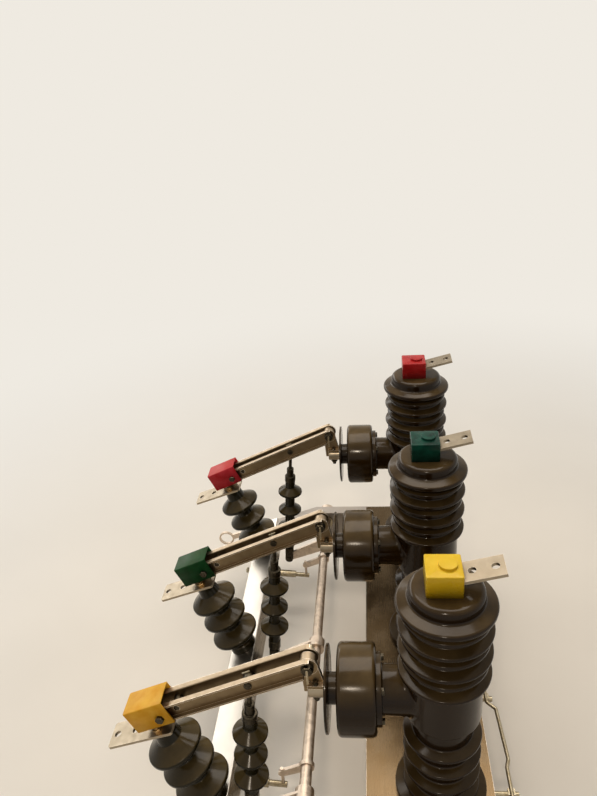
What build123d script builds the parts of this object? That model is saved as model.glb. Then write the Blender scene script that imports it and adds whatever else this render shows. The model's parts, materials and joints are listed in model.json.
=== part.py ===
from build123d import *
import math
import os

# Three-phase outdoor vacuum breaker with an isolator on its left side.
# Millimetres, Z up, phases spaced along Y.
# The origin is on the middle pole's axis, at the underside of the mechanism box.

# Phases
PHASE_PITCH = 340.0
PHASES = {"a": -PHASE_PITCH, "b": 0.0, "c": PHASE_PITCH}

# Mechanism box
BOX_LEFT = -118.0
BOX_RIGHT = 82.0
BOX_HALF_LENGTH = 436.0
BOX_HEIGHT = 225.0
BOX_CORNER_R = 6.0
TOP_PLATE_T = 4.0
TOP_PLATE_LIP = 5.0
BOTTOM_LIP = 12.0
BOTTOM_LIP_T = 5.0

# Pole: moulded insulator that holds the interrupter
POLE_FLANGE_R = 74.0
POLE_FLANGE_T = 12.0
POLE_CORE_R = 47.0
POLE_WAIST_R = 58.0
POLE_WAIST_CONE = 10.0
POLE_WAIST_ROUND = 5.0
LOWER_SHED_R = 61.0
LOWER_SHED_COUNT = 4
LOWER_SHED_START = 27.0
LOWER_SHED_STEP = 38.0
WAIST_START = 49.0
WAIST_BELOW_OUTLET = 37.0
WAIST_ABOVE_OUTLET = 48.0
UPPER_SHED_START = 4.0
UPPER_SHED_DEPTH = 10.0
TOP_SHED_R = 72.0
TOP_SHED_LIP = 4.5
UPPER_SHED_STEP = 21.0
UPPER_SHED_COUNT = 6
WIDE_SHED_R = 69.0
NARROW_SHED_R = 64.0
SHED_LIP = 3.0
SHED_RISE = 5.0
SHED_DROP = 2.0
RIM_FLAT = 0.3
DOME_R = 54.0
DOME_ROUND = 9.0
DOME_HEIGHT = 29.0

# Outlet branch, current transformer and outlet conductor, all on one level axis
BRANCH_R = 38.0
BRANCH_LENGTH = 101.0
BRANCH_FLANGE_R = 55.0
BRANCH_FLANGE_T = 8.0
CT_WIDTH = 59.0
CT_R = 69.0
CT_ROUND = 5.0
SLEEVE_R = 24.0
SLEEVE_CLEARANCE = 0.3
DISC_R = 66.0
DISC_T = 4.0
DISC_GAP = 14.0
CONDUCTOR_R = 14.0
CONDUCTOR_OUT = 28.0
CONDUCTOR_FLAT = 11.0
CONDUCTOR_ROUND = 2.0
CONDUCTOR_FLAT_MARGIN = 2.0

# Isolator hinge and blade
HINGE_INSET = 3.0
HINGE_RISE = 57.0
HINGE_PIN_R = 6.0
PIN_CLEARANCE = 0.1
BLADE_ANGLE = 24.0
BLADE_LENGTH = 306.0
BAR_HEIGHT = 32.0
BAR_WEB_T = 3.0
BAR_FLANGE = 10.0
BAR_GAP = 18.0
FLANGE_START = 14.0
MID_PIN_AT = 104.0
MID_PIN_R = 5.0
TIP_SPACER_AT = 236.0
TIP_SPACER_R = 8.0
HINGE_WASHER_R = 10.0
HINGE_NUT_R = 9.5
HINGE_HEAD_T = 6.0
HINGE_NUT_T = 9.0
PIN_WASHER_R = 9.0
WASHER_T = 4.0
PIN_END = 3.0
BAR_BEND_R = 2.0
BRACKET_T = 14.0
BRACKET_WEB_T = 8.0
BRACKET_EYE_R = 13.0
BRACKET_PAD = 25.0
BRACKET_PAD_T = 6.0
BRACKET_LUG_T = 6.0
BRACKET_LUG_DROP = 4.0

# Tip cover, open below and towards the hinge
COVER_LENGTH = 73.0
COVER_END_GAP = 12.0
COVER_WALL = 2.5
COVER_TOP = 28.5
COVER_BOTTOM = -17.5
COVER_SIDE_CLEARANCE = 0.4
COVER_ROUND = 3.0

# Post insulators with the fixed contacts, leaning outwards
LEAN = 20.0
CONTACT_INSET = 13.0
CONTACT_DROP = 38.4
POST_CORE_R = 22.0
POST_SHED_RADII = (50.0, 47.0, 48.0)
POST_SHED_FIRST = 42.0
POST_SHED_STEP = 49.5
POST_NECK = 46.0
POST_SHED_RISE = 17.0
POST_SHED_LIP = 4.0
POST_BASE_R = 28.0
POST_BASE_T = 14.0
POST_BASE_CONE = 6.0
POST_HEAD_ROUND = 2.0
POST_HEAD_R = 20.0
POST_HEAD_T = 12.0
PLATE_T = 5.0
PLATE_WIDTH = 47.0
PLATE_OUT = 95.0
PLATE_IN = 26.0
PLATE_HOLE_OUT = 83.0
PLATE_HOLE_SPACING = 35.0
PLATE_CORNER_R = 4.0
TERMINAL_HOLE_R = 6.0
FINGER_T = 8.0
FINGER_LENGTH = 36.0
FINGER_HEIGHT = 46.0

# Top terminal and its cover
TOP_PLATE_WIDTH = 40.0
TOP_BEND_X = 0.0
TOP_PLATE_RISE = 14.5
TOP_PLATE_REACH = 78.0
TOP_PLATE_TAIL = 20.0
TOP_HOLE_END = 13.0
TOP_HOLE_SPACING = 32.0
STUD_R = 17.0
STUD_HEIGHT = 14.0
CAP_X = (-30.5, 20.5)
CAP_WIDTH = 49.5
CAP_HEAD_ROOM = 14.0
CAP_WALL = 3.0
CAP_ROUND = 2.5
CAP_BOSS_R = 13.0
CAP_BOSS_T = 4.5
CAP_BOSS_X = 1.0
CAP_SLOT_CLEARANCE = 0.5
CAP_SLOT_HEAD_ROOM = 2.0
CAP_BOSS_CHAMFER = 1.0

# End arms and crossbar
ARM_T = 4.0
ARM_FLANGE = 30.0
ARM_DEPTH = 92.0
ARM_TIP_OVERHANG = 34.2
ARM_RIGHT = -20.0
ARM_TIP_DEPTH = 44.0
ARM_BEND_R = 3.0
ARM_CORNER_R = 8.0
CROSSBAR_T = 3.0
CROSSBAR_WIDTH = 58.0
CROSSBAR_DEPTH = 40.0
CROSSBAR_END_GAP = 0.5
CROSSBAR_BEND_R = 2.5

# Isolator shaft and its cranks
SHAFT_SETBACK = 28.0
SHAFT_DROP = 45.0
SHAFT_R = 10.5
SHAFT_OVERHANG = 46.0
SHAFT_HOLE_R = 3.0
SHAFT_HOLE_INSET = 12.0
BEARING_R = 17.0
BEARING_LENGTH = 14.0
BEARING_FLANGE_R = 26.0
BEARING_FLANGE_T = 4.0
CRANK_T = 5.0
CRANK_HUB_R = 17.0
CRANK_HUB_LENGTH = 24.0
CRANK_EYE_R = 11.0
CRANK_EYE_CLEARANCE = 0.3
COLLAR_R = 14.0
COLLAR_LENGTH = 8.0
COLLAR_INSET = 58.0

# Stop fingers on the collars, and the stop rods that they rest on when the isolator is closed
FINGER_ARM_LENGTH = 51.0
FINGER_ARM_T = 6.0
FINGER_ARM_ROOT = 18.0
FINGER_ARM_EYE_R = 7.0
STOP_SCREW_R = 3.0
STOP_SCREW_OUT = 5.0
STOP_GAP = 0.5
STOP_ROD_R = 4.0
STOP_ROD_SLOPE = 6.0
STOP_ROD_DEPTH = 31.0
STOP_ROD_OUT = 24.0
STOP_ROD_REACH = 138.0
STOP_HEAD_R = 7.0
STOP_HEAD_T = 6.0
STOP_SEAT_R = 8.0
STOP_SEAT_T = 6.0
STOP_SLEEVE_R = 6.5
STOP_SLEEVE_LENGTH = 60.0
STOP_SLEEVE_ROUND = 1.0

# Operating lever
LEVER_LENGTH = 306.0
LEVER_T = 6.0
LEVER_WIDTH = 22.0
LEVER_HUB_R = 18.0
LEVER_HUB_LENGTH = 20.0
LEVER_RING_R = 21.5
LEVER_RING_BORE_R = 17.0
LEVER_ANGLE = 17.0

# Pull rods
ROD_PIN_R = 5.0
OPEN_PIVOT_CLEARANCE = 0.5
FORK_GAP = 12.0
FORK_EAR_T = 5.0
FORK_WIDTH = 20.0
FORK_PIN_END = 3.0
HEAD_SIDE_CLEARANCE = 0.3
HEAD_EYE_R = 10.0
HEAD_NECK_R = 8.5
HEAD_NECK_T = 21.0
HEAD_STUD_R = 4.0
ROD_CORE_R = 12.0
ROD_SHED_RADII = (30.0, 28.5, 29.5)
ROD_SHED_FIRST = 98.0
ROD_SHED_STEP = 55.0
ROD_SHED_RISE = 12.0
ROD_SHED_LIP = 3.0
ROD_FERRULE_R = 13.0
ROD_FERRULE_T = 16.0
ROD_BODY_LOW = 60.0
ROD_NECK = 32.0

# Bent rod on two stand-offs beside the box
SIDE_ROD_R = 3.5
SIDE_ROD_DROP = 43.0
SIDE_ROD_OUT = 40.0
SIDE_ROD_JOG = 15.0
SIDE_ROD_BOW = 5.0
SIDE_ROD_KINK = 16.0
SIDE_ROD_NEAR_END = -392.0
SIDE_ROD_FAR_END = -95.0
SIDE_ROD_BOW_Y = -258.0
SIDE_ROD_JOG_Y = -138.0
SIDE_ROD_BEND_R = 8.0
STANDOFF_R = 5.0
STANDOFF_NEAR_Y = -318.0
STANDOFF_FAR_Y = -124.0
STANDOFF_END = 13.0
CLIP_SIZE = 12.0


def radians(angle):
    return math.radians(angle)


# Heights, stacked up from the box
LOWER_SHED_LEVELS = [BOX_HEIGHT + LOWER_SHED_START + number * LOWER_SHED_STEP
                     for number in range(LOWER_SHED_COUNT)]
POLE_WAIST_LOW = LOWER_SHED_LEVELS[-1] + WAIST_START
OUTLET_Z = POLE_WAIST_LOW + WAIST_BELOW_OUTLET
POLE_WAIST_HIGH = OUTLET_Z + WAIST_ABOVE_OUTLET
TOP_SHED_Z = POLE_WAIST_HIGH + UPPER_SHED_START + UPPER_SHED_COUNT * UPPER_SHED_STEP
DOME_TOP = TOP_SHED_Z + DOME_HEIGHT
TOP_PLATE_Z = DOME_TOP + STUD_HEIGHT
CAP_HEIGHT = STUD_HEIGHT + PLATE_T + CAP_HEAD_ROOM + CAP_WALL
SIDE_ROD_Z = BOX_HEIGHT - SIDE_ROD_DROP

# Places along the outlet, from the pole towards the hinge
CT_RIGHT = -BRANCH_LENGTH
CT_LEFT = CT_RIGHT - CT_WIDTH
DISC_RIGHT = CT_LEFT - DISC_GAP
CONDUCTOR_END = DISC_RIGHT - DISC_T - CONDUCTOR_OUT
HINGE_X = CONDUCTOR_END + HINGE_INSET
HINGE_Z = OUTLET_Z + HINGE_RISE
OUTLET_AXIS = Axis((0, 0, OUTLET_Z), (1, 0, 0))

# Blade, cranks and pull rods: one parallelogram for each phase
ARM_TOP = BOX_HEIGHT
SHAFT_X = HINGE_X - SHAFT_SETBACK
SHAFT_Z = ARM_TOP - SHAFT_DROP
BLADE_DIR = (-math.cos(radians(BLADE_ANGLE)), -math.sin(radians(BLADE_ANGLE)))
BLADE_UP = (BLADE_DIR[1], -BLADE_DIR[0])
MID_PIN = (HINGE_X + MID_PIN_AT * BLADE_DIR[0], HINGE_Z + MID_PIN_AT * BLADE_DIR[1])
CRANK_PIN = (SHAFT_X + MID_PIN_AT * BLADE_DIR[0], SHAFT_Z + MID_PIN_AT * BLADE_DIR[1])
ROD_LENGTH = math.hypot(MID_PIN[0] - CRANK_PIN[0], MID_PIN[1] - CRANK_PIN[1])
ROD_TILT = math.degrees(math.atan2(MID_PIN[0] - CRANK_PIN[0], MID_PIN[1] - CRANK_PIN[1]))
BLADE_HALF_WIDTH = BAR_GAP / 2 + BAR_FLANGE

# Post head under the blade's tip, then down its axis to the foot and along the arm's slope to the bend
POST_LENGTH = POST_SHED_FIRST + (len(POST_SHED_RADII) - 1) * POST_SHED_STEP + POST_NECK
POST_AXIS = (-math.sin(radians(LEAN)), math.cos(radians(LEAN)))
CROSSBAR_AXIS = (math.cos(radians(LEAN)), math.sin(radians(LEAN)))
CONTACT_AT = BLADE_LENGTH - CONTACT_INSET
POST_TOP = (HINGE_X + CONTACT_AT * BLADE_DIR[0] - CONTACT_DROP * BLADE_UP[0],
            HINGE_Z + CONTACT_AT * BLADE_DIR[1] - CONTACT_DROP * BLADE_UP[1])
POST_FOOT_X = POST_TOP[0] - POST_LENGTH * POST_AXIS[0]
POST_FOOT_Z = POST_TOP[1] - POST_LENGTH * POST_AXIS[1]
ARM_SLOPE_RUN = (ARM_TOP - POST_FOOT_Z + CROSSBAR_T / math.cos(radians(LEAN))) / math.tan(radians(LEAN))
ARM_BEND_X = POST_FOOT_X + ARM_SLOPE_RUN
ARM_SLOPE_LENGTH = ARM_SLOPE_RUN / math.cos(radians(LEAN)) + ARM_TIP_OVERHANG

# Stop rods: each crosses the crossbar's outer wall here, and runs in line with a collar
COLLAR_Y = PHASE_PITCH - COLLAR_INSET
STOP_ROD_X = POST_FOOT_X - CROSSBAR_WIDTH / 2 * CROSSBAR_AXIS[0] - STOP_ROD_DEPTH * POST_AXIS[0]
STOP_ROD_Z = POST_FOOT_Z - CROSSBAR_WIDTH / 2 * CROSSBAR_AXIS[1] - STOP_ROD_DEPTH * POST_AXIS[1]


def outline(points, centre_y=0.0):
    """A closed outline in X and Z. A point's third value is the radius that rounds its corner."""
    face = make_face(Polyline(*[(point[0], centre_y, point[1]) for point in points], close=True))
    for x, z, corner_r in [point for point in points if len(point) == 3]:
        corner = face.vertices().sort_by_distance((x, centre_y, z))[0]
        face = fillet(corner, corner_r)
    return face


def side_profile(points, width, centre_y=0.0):
    """An outline given a width across Y."""
    return extrude(outline(points, centre_y), amount=width / 2, dir=(0, 1, 0), both=True)


def lathe(points, axis=Axis.Z):
    """An outline turned about an axis in its plane."""
    return revolve(outline(points), axis)


def cross_pin(x, z, radius, length, centre_y=0.0):
    """A round pin along Y."""
    return Pos(x, centre_y, z) * Rot(90, 0, 0) * Cylinder(radius, length)


def shed(core_r, rim_r, z, lip, rise, drop):
    """Outline points of one rain shed with a rounded rim, from below to above."""
    edge_r = lip - RIM_FLAT
    return [(core_r, z - lip - drop), (rim_r, z - lip, edge_r), (rim_r, z + lip, edge_r),
            (core_r, z + lip + rise)]


def tilted(shape, angle, x, z):
    """Turn a piece built upright at the origin about Y, then put it in place."""
    return Pos(x, 0, z) * Rot(0, angle, 0) * shape


# Root pieces
def base_box():
    width = BOX_RIGHT - BOX_LEFT
    height = BOX_HEIGHT - TOP_PLATE_T
    body = Box(width, 2 * BOX_HALF_LENGTH, height, align=(Align.CENTER, Align.CENTER, Align.MIN))
    body = fillet(body.edges().filter_by(Axis.Z), BOX_CORNER_R)
    lip = Box(width + 2 * BOTTOM_LIP, 2 * BOX_HALF_LENGTH, BOTTOM_LIP_T,
              align=(Align.CENTER, Align.CENTER, Align.MIN))
    return Pos((BOX_LEFT + BOX_RIGHT) / 2, 0, 0) * (body + lip)


def box_top_plate():
    width = BOX_RIGHT - BOX_LEFT + 2 * TOP_PLATE_LIP
    plate = Box(width, 2 * BOX_HALF_LENGTH, TOP_PLATE_T,
                align=(Align.CENTER, Align.CENTER, Align.MAX))
    plate = fillet(plate.edges().filter_by(Axis.Z), BOX_CORNER_R)
    return Pos((BOX_LEFT + BOX_RIGHT) / 2, 0, BOX_HEIGHT) * plate


def is_fold(edge, outer_y, tip):
    """Whether an arm's edge lies along the fold between its web and its flange."""
    ridge = [(ARM_RIGHT, ARM_TOP), (BOX_LEFT - TOP_PLATE_LIP, ARM_TOP), (ARM_BEND_X, ARM_TOP), tip]
    ends = [Vector(x, outer_y, z) for x, z in ridge]
    return all(min((end - Vector(*corner)).length for end in ends) < RIM_FLAT
               for corner in edge.vertices())


def arm(side):
    """End arm: an outer web with a flange turned inwards along its top."""
    slope_x = ARM_SLOPE_LENGTH * math.cos(radians(LEAN))
    slope_z = ARM_SLOPE_LENGTH * math.sin(radians(LEAN))
    tip = (ARM_BEND_X - slope_x, ARM_TOP - slope_z)
    tip_low = (tip[0] - ARM_TIP_DEPTH * POST_AXIS[0], tip[1] - ARM_TIP_DEPTH * POST_AXIS[1])
    web_y = side * (BOX_HALF_LENGTH + ARM_T / 2)
    web = side_profile([(ARM_RIGHT, ARM_TOP), (ARM_BEND_X, ARM_TOP), tip, (*tip_low, ARM_CORNER_R),
                        (ARM_BEND_X, ARM_TOP - ARM_DEPTH), (ARM_RIGHT, ARM_TOP - ARM_DEPTH)],
                       ARM_T, web_y)
    drop = ARM_T / math.cos(radians(LEAN))
    corner_shift = ARM_T * math.tan(radians(LEAN / 2))
    flange_points = [(BOX_LEFT - TOP_PLATE_LIP, ARM_TOP), (ARM_BEND_X, ARM_TOP), tip,
                     (tip[0], tip[1] - drop), (ARM_BEND_X + corner_shift, ARM_TOP - ARM_T),
                     (BOX_LEFT - TOP_PLATE_LIP, ARM_TOP - ARM_T)]
    flange = side_profile(flange_points, ARM_FLANGE,
                          side * (BOX_HALF_LENGTH + ARM_T - ARM_FLANGE / 2))
    bent = web + flange
    outer_y = side * (BOX_HALF_LENGTH + ARM_T)
    folds = [edge for edge in bent.edges() if is_fold(edge, outer_y, tip)]
    bore = cross_pin(SHAFT_X, SHAFT_Z, BEARING_R, 4 * ARM_T, web_y)
    return fillet(folds, ARM_BEND_R) - bore


def crossbar():
    """Channel across the two arms, open below, square to the leaning posts."""
    under = (Align.CENTER, Align.CENTER, Align.MAX)
    channel = Box(CROSSBAR_WIDTH, 2 * (BOX_HALF_LENGTH + ARM_T), CROSSBAR_T, align=under)
    wall_length = 2 * (BOX_HALF_LENGTH + ARM_T - ARM_FLANGE - CROSSBAR_END_GAP)
    for side in (-1, 1):
        wall = Box(CROSSBAR_T, wall_length, CROSSBAR_DEPTH, align=under)
        channel += Pos(side * (CROSSBAR_WIDTH - CROSSBAR_T) / 2, 0, 0) * wall
    folds = channel.edges().filter_by(Axis.Y).group_by(Axis.Z)[-1]
    channel = tilted(fillet(folds, CROSSBAR_BEND_R), -LEAN, POST_FOOT_X, POST_FOOT_Z)
    for side in (-1, 1):
        channel -= stop_rod_place(side) * Rot(0, 90, 0) * Cylinder(STOP_ROD_R + PIN_CLEARANCE,
                                                                   CROSSBAR_WIDTH)
    return channel


def stop_rod_place(side):
    """Where a stop rod crosses the outer wall, with X along the rod towards the shaft."""
    return Pos(STOP_ROD_X, side * COLLAR_Y, STOP_ROD_Z) * Rot(0, STOP_ROD_SLOPE, 0)


def stop_rods():
    """Two bolts through the crossbar's outer wall on bevelled seats, each with a buffer sleeve."""
    along = Rot(0, 90, 0)
    start = (Align.CENTER, Align.CENTER, Align.MIN)
    rod = Pos(-STOP_ROD_OUT, 0, 0) * along * Cylinder(STOP_ROD_R, STOP_ROD_OUT + STOP_ROD_REACH,
                                                      align=start)
    head = extrude(RegularPolygon(STOP_HEAD_R, 6), STOP_HEAD_T)
    rod += Pos(-STOP_ROD_OUT, 0, 0) * along * head
    sleeve = Cylinder(STOP_SLEEVE_R, STOP_SLEEVE_LENGTH, align=start)
    sleeve = fillet(sleeve.edges().filter_by(GeomType.CIRCLE), STOP_SLEEVE_ROUND)
    rod += Pos(STOP_ROD_REACH - STOP_SLEEVE_LENGTH, 0, 0) * along * sleeve
    seat = along * Cylinder(STOP_SEAT_R, 2 * (STOP_SEAT_T + CROSSBAR_T))
    wall = Rot(0, -LEAN - STOP_ROD_SLOPE, 0) * Box(CROSSBAR_T, 4 * STOP_SEAT_R, 8 * STOP_SEAT_R,
                                                   align=(Align.MIN, Align.CENTER, Align.CENTER))
    rod += seat - wall
    return Compound(children=[stop_rod_place(side) * rod for side in (-1, 1)])


def shaft_bearing(side):
    """Flanged bush in the web of one arm."""
    bush = Cylinder(BEARING_R, BEARING_LENGTH)
    flange = Pos(0, 0, BEARING_LENGTH / 2 - BEARING_FLANGE_T / 2) * Cylinder(BEARING_FLANGE_R,
                                                                          BEARING_FLANGE_T)
    bore = Cylinder(SHAFT_R + PIN_CLEARANCE, 2 * BEARING_LENGTH)
    bush = bush + flange - bore
    outer_face = side * (BOX_HALF_LENGTH + ARM_T)
    centre = outer_face - side * (BEARING_LENGTH / 2 - BEARING_FLANGE_T)
    return Pos(SHAFT_X, centre, SHAFT_Z) * Rot(-90 * side, 0, 0) * bush


def post_insulator():
    points = [(0, 0), (POST_BASE_R, 0), (POST_BASE_R, POST_BASE_T),
              (POST_CORE_R, POST_BASE_T + POST_BASE_CONE)]
    for number, rim in enumerate(POST_SHED_RADII):
        level = POST_SHED_FIRST + number * POST_SHED_STEP
        points += shed(POST_CORE_R, rim, level, POST_SHED_LIP, POST_SHED_RISE, SHED_DROP)
    head_low = POST_LENGTH - POST_HEAD_T
    points += [(POST_HEAD_R, head_low, POST_HEAD_ROUND), (POST_HEAD_R, POST_LENGTH), (0, POST_LENGTH)]
    return tilted(lathe(points), -LEAN, POST_FOOT_X, POST_FOOT_Z)


def fixed_contact():
    """Terminal plate on the post, with an upright finger between the blade's bars."""
    length = PLATE_OUT + PLATE_IN
    plate = Pos((PLATE_IN - PLATE_OUT) / 2, 0, PLATE_T / 2) * Box(length, PLATE_WIDTH, PLATE_T)
    plate = fillet(plate.edges().filter_by(Axis.Z), PLATE_CORNER_R)
    for offset in (0.0, PLATE_HOLE_SPACING):
        hole = Pos(offset - PLATE_HOLE_OUT, 0, PLATE_T / 2) * Cylinder(TERMINAL_HOLE_R, 2 * PLATE_T)
        plate -= hole
    finger = Box(FINGER_LENGTH, FINGER_T, FINGER_HEIGHT,
                 align=(Align.CENTER, Align.CENTER, Align.MIN))
    top_edges = finger.edges().filter_by(Axis.Y).group_by(Axis.Z)[-1]
    finger = chamfer(top_edges, FINGER_T / 2)
    return tilted(plate + Pos(0, 0, PLATE_T) * finger, -LEAN, POST_TOP[0], POST_TOP[1])


def pole():
    """Shedded insulator on a round foot, with a waist and a level outlet branch."""
    foot_top = BOX_HEIGHT + POLE_FLANGE_T
    points = [(0, BOX_HEIGHT), (POLE_FLANGE_R, BOX_HEIGHT), (POLE_FLANGE_R, foot_top),
              (POLE_CORE_R, foot_top + SHED_RISE)]
    for level in LOWER_SHED_LEVELS:
        points += shed(POLE_CORE_R, LOWER_SHED_R, level, SHED_LIP, SHED_RISE, SHED_DROP)
    points += [(POLE_CORE_R, POLE_WAIST_LOW - POLE_WAIST_CONE),
               (POLE_WAIST_R, POLE_WAIST_LOW, POLE_WAIST_ROUND),
               (POLE_WAIST_R, POLE_WAIST_HIGH, SHED_DROP)]
    upper_core = NARROW_SHED_R - UPPER_SHED_DEPTH
    for number in range(UPPER_SHED_COUNT, 0, -1):
        rim = NARROW_SHED_R if number % 2 else WIDE_SHED_R
        level = TOP_SHED_Z - number * UPPER_SHED_STEP
        points += shed(upper_core, rim, level, SHED_LIP, SHED_RISE, SHED_DROP)
    edge_r = TOP_SHED_LIP - RIM_FLAT
    points += [(upper_core, TOP_SHED_Z - TOP_SHED_LIP - SHED_DROP),
               (TOP_SHED_R, TOP_SHED_Z - TOP_SHED_LIP, edge_r),
               (TOP_SHED_R, TOP_SHED_Z + TOP_SHED_LIP, edge_r),
               (DOME_R, TOP_SHED_Z + TOP_SHED_LIP + SHED_RISE),
               (DOME_R, DOME_TOP, DOME_ROUND), (0, DOME_TOP)]
    body = lathe(points)
    reach = -CT_RIGHT - BRANCH_FLANGE_T
    branch = [(0, OUTLET_Z), (0, OUTLET_Z + BRANCH_R), (-reach, OUTLET_Z + BRANCH_R),
              (-reach, OUTLET_Z + BRANCH_FLANGE_R), (CT_RIGHT, OUTLET_Z + BRANCH_FLANGE_R),
              (CT_RIGHT, OUTLET_Z)]
    return body + lathe(branch, OUTLET_AXIS)


def transformer():
    """Drum on the outlet sleeve, with rounded edges."""
    bore = SLEEVE_R + SLEEVE_CLEARANCE
    points = [(CT_LEFT, OUTLET_Z + bore), (CT_LEFT, OUTLET_Z + CT_R, CT_ROUND),
              (CT_RIGHT, OUTLET_Z + CT_R, CT_ROUND), (CT_RIGHT, OUTLET_Z + bore)]
    return lathe(points, OUTLET_AXIS)


def outlet():
    """Sleeve through the drum, thin disc, and the bare end of the conductor."""
    points = [(CT_RIGHT, OUTLET_Z), (CT_RIGHT, OUTLET_Z + SLEEVE_R),
              (DISC_RIGHT, OUTLET_Z + SLEEVE_R), (DISC_RIGHT, OUTLET_Z + DISC_R),
              (DISC_RIGHT - DISC_T, OUTLET_Z + DISC_R), (DISC_RIGHT - DISC_T, OUTLET_Z + CONDUCTOR_R),
              (CONDUCTOR_END, OUTLET_Z + CONDUCTOR_R, CONDUCTOR_ROUND), (CONDUCTOR_END, OUTLET_Z)]
    body = lathe(points, OUTLET_AXIS)
    flat = Box(2 * (BRACKET_PAD + CONDUCTOR_FLAT_MARGIN), 2 * CONDUCTOR_R, CONDUCTOR_R,
               align=(Align.CENTER, Align.CENTER, Align.MIN))
    return body - Pos(CONDUCTOR_END, 0, OUTLET_Z + CONDUCTOR_FLAT) * flat


def hinge_bracket():
    """Pad on the conductor's flat, a lug over the conductor's end, and a gusset up to the hinge eye."""
    pad_low = OUTLET_Z + CONDUCTOR_FLAT
    pad_right = CONDUCTOR_END + BRACKET_PAD
    pad = Pos(CONDUCTOR_END + BRACKET_PAD / 2, 0, pad_low) * Box(
        BRACKET_PAD, BRACKET_PAD, BRACKET_PAD_T, align=(Align.CENTER, Align.CENTER, Align.MIN))
    lug_low = OUTLET_Z - BRACKET_LUG_DROP
    gusset = side_profile([(CONDUCTOR_END, pad_low), (pad_right, pad_low),
                           (pad_right, pad_low + BRACKET_PAD_T), (HINGE_X + BRACKET_EYE_R, HINGE_Z),
                           (HINGE_X - BRACKET_EYE_R, HINGE_Z), (CONDUCTOR_END - BRACKET_LUG_T, lug_low),
                           (CONDUCTOR_END, lug_low)], BRACKET_WEB_T)
    eye = cross_pin(HINGE_X, HINGE_Z, BRACKET_EYE_R, BRACKET_T)
    bore = cross_pin(HINGE_X, HINGE_Z, HINGE_PIN_R + PIN_CLEARANCE, 2 * BRACKET_T)
    return pad + gusset + eye - bore


def top_terminal():
    """Stud block under a plate that is bent up to the right."""
    rise = radians(TOP_PLATE_RISE)
    tip = (TOP_PLATE_REACH, TOP_PLATE_Z + (TOP_PLATE_REACH - TOP_BEND_X) * math.tan(rise))
    over = (-PLATE_T * math.sin(rise), PLATE_T * math.cos(rise))
    bend_shift = PLATE_T * math.tan(rise / 2)
    plate = side_profile([(-TOP_PLATE_TAIL, TOP_PLATE_Z), (TOP_BEND_X, TOP_PLATE_Z), tip,
                          (tip[0] + over[0], tip[1] + over[1]),
                          (TOP_BEND_X - bend_shift, TOP_PLATE_Z + PLATE_T),
                          (-TOP_PLATE_TAIL, TOP_PLATE_Z + PLATE_T)], TOP_PLATE_WIDTH)
    for offset in (0.0, TOP_HOLE_SPACING):
        back = TOP_HOLE_END + offset
        x = tip[0] - back * math.cos(rise)
        z = tip[1] - back * math.sin(rise)
        plate -= Pos(x, 0, z) * Rot(0, -TOP_PLATE_RISE, 0) * Cylinder(TERMINAL_HOLE_R, 4 * PLATE_T)
    stud = Pos(0, 0, DOME_TOP) * Cylinder(STUD_R, TOP_PLATE_Z - DOME_TOP,
                                          align=(Align.CENTER, Align.CENTER, Align.MIN))
    return plate + stud


def top_cover():
    """Soft box over the top terminal, open below, with a slot for the plate."""
    length = CAP_X[1] - CAP_X[0]
    centre = (CAP_X[0] + CAP_X[1]) / 2
    seat = (Align.CENTER, Align.CENTER, Align.MIN)
    body = Pos(centre, 0, DOME_TOP) * Box(length, CAP_WIDTH, CAP_HEIGHT, align=seat)
    body = fillet(body.edges().filter_by(Axis.Z), CAP_ROUND)
    body = fillet(body.edges().group_by(Axis.Z)[-1], CAP_ROUND)
    boss = Pos(CAP_BOSS_X, 0, DOME_TOP + CAP_HEIGHT) * Cylinder(CAP_BOSS_R, CAP_BOSS_T, align=seat)
    boss = chamfer(boss.edges().group_by(Axis.Z)[-1], CAP_BOSS_CHAMFER)
    room = Pos(centre, 0, DOME_TOP) * Box(length - 2 * CAP_WALL, CAP_WIDTH - 2 * CAP_WALL,
                                          CAP_HEIGHT - CAP_WALL, align=seat)
    slot_top = (TOP_PLATE_Z + CAP_X[1] * math.tan(radians(TOP_PLATE_RISE)) + PLATE_T
                + CAP_SLOT_HEAD_ROOM)
    slot = Pos(CAP_X[1], 0, DOME_TOP) * Box(4 * CAP_WALL, TOP_PLATE_WIDTH + 2 * CAP_SLOT_CLEARANCE,
                                            slot_top - DOME_TOP, align=seat)
    return body + boss - room - slot


def side_rod():
    """Bent round rod beside the box, jogged out past its far clip."""
    near_x = BOX_RIGHT + SIDE_ROD_OUT
    far_x = near_x - SIDE_ROD_JOG
    path = FilletPolyline((near_x, SIDE_ROD_NEAR_END, SIDE_ROD_Z),
                          (near_x, SIDE_ROD_BOW_Y - SIDE_ROD_KINK, SIDE_ROD_Z),
                          (near_x + SIDE_ROD_BOW, SIDE_ROD_BOW_Y, SIDE_ROD_Z),
                          (near_x, SIDE_ROD_JOG_Y - SIDE_ROD_JOG, SIDE_ROD_Z),
                          (far_x, SIDE_ROD_JOG_Y, SIDE_ROD_Z), (far_x, SIDE_ROD_FAR_END, SIDE_ROD_Z),
                          radius=SIDE_ROD_BEND_R)
    section = Plane(origin=path @ 0, z_dir=path % 0) * Circle(SIDE_ROD_R)
    return sweep(section, path)


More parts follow.
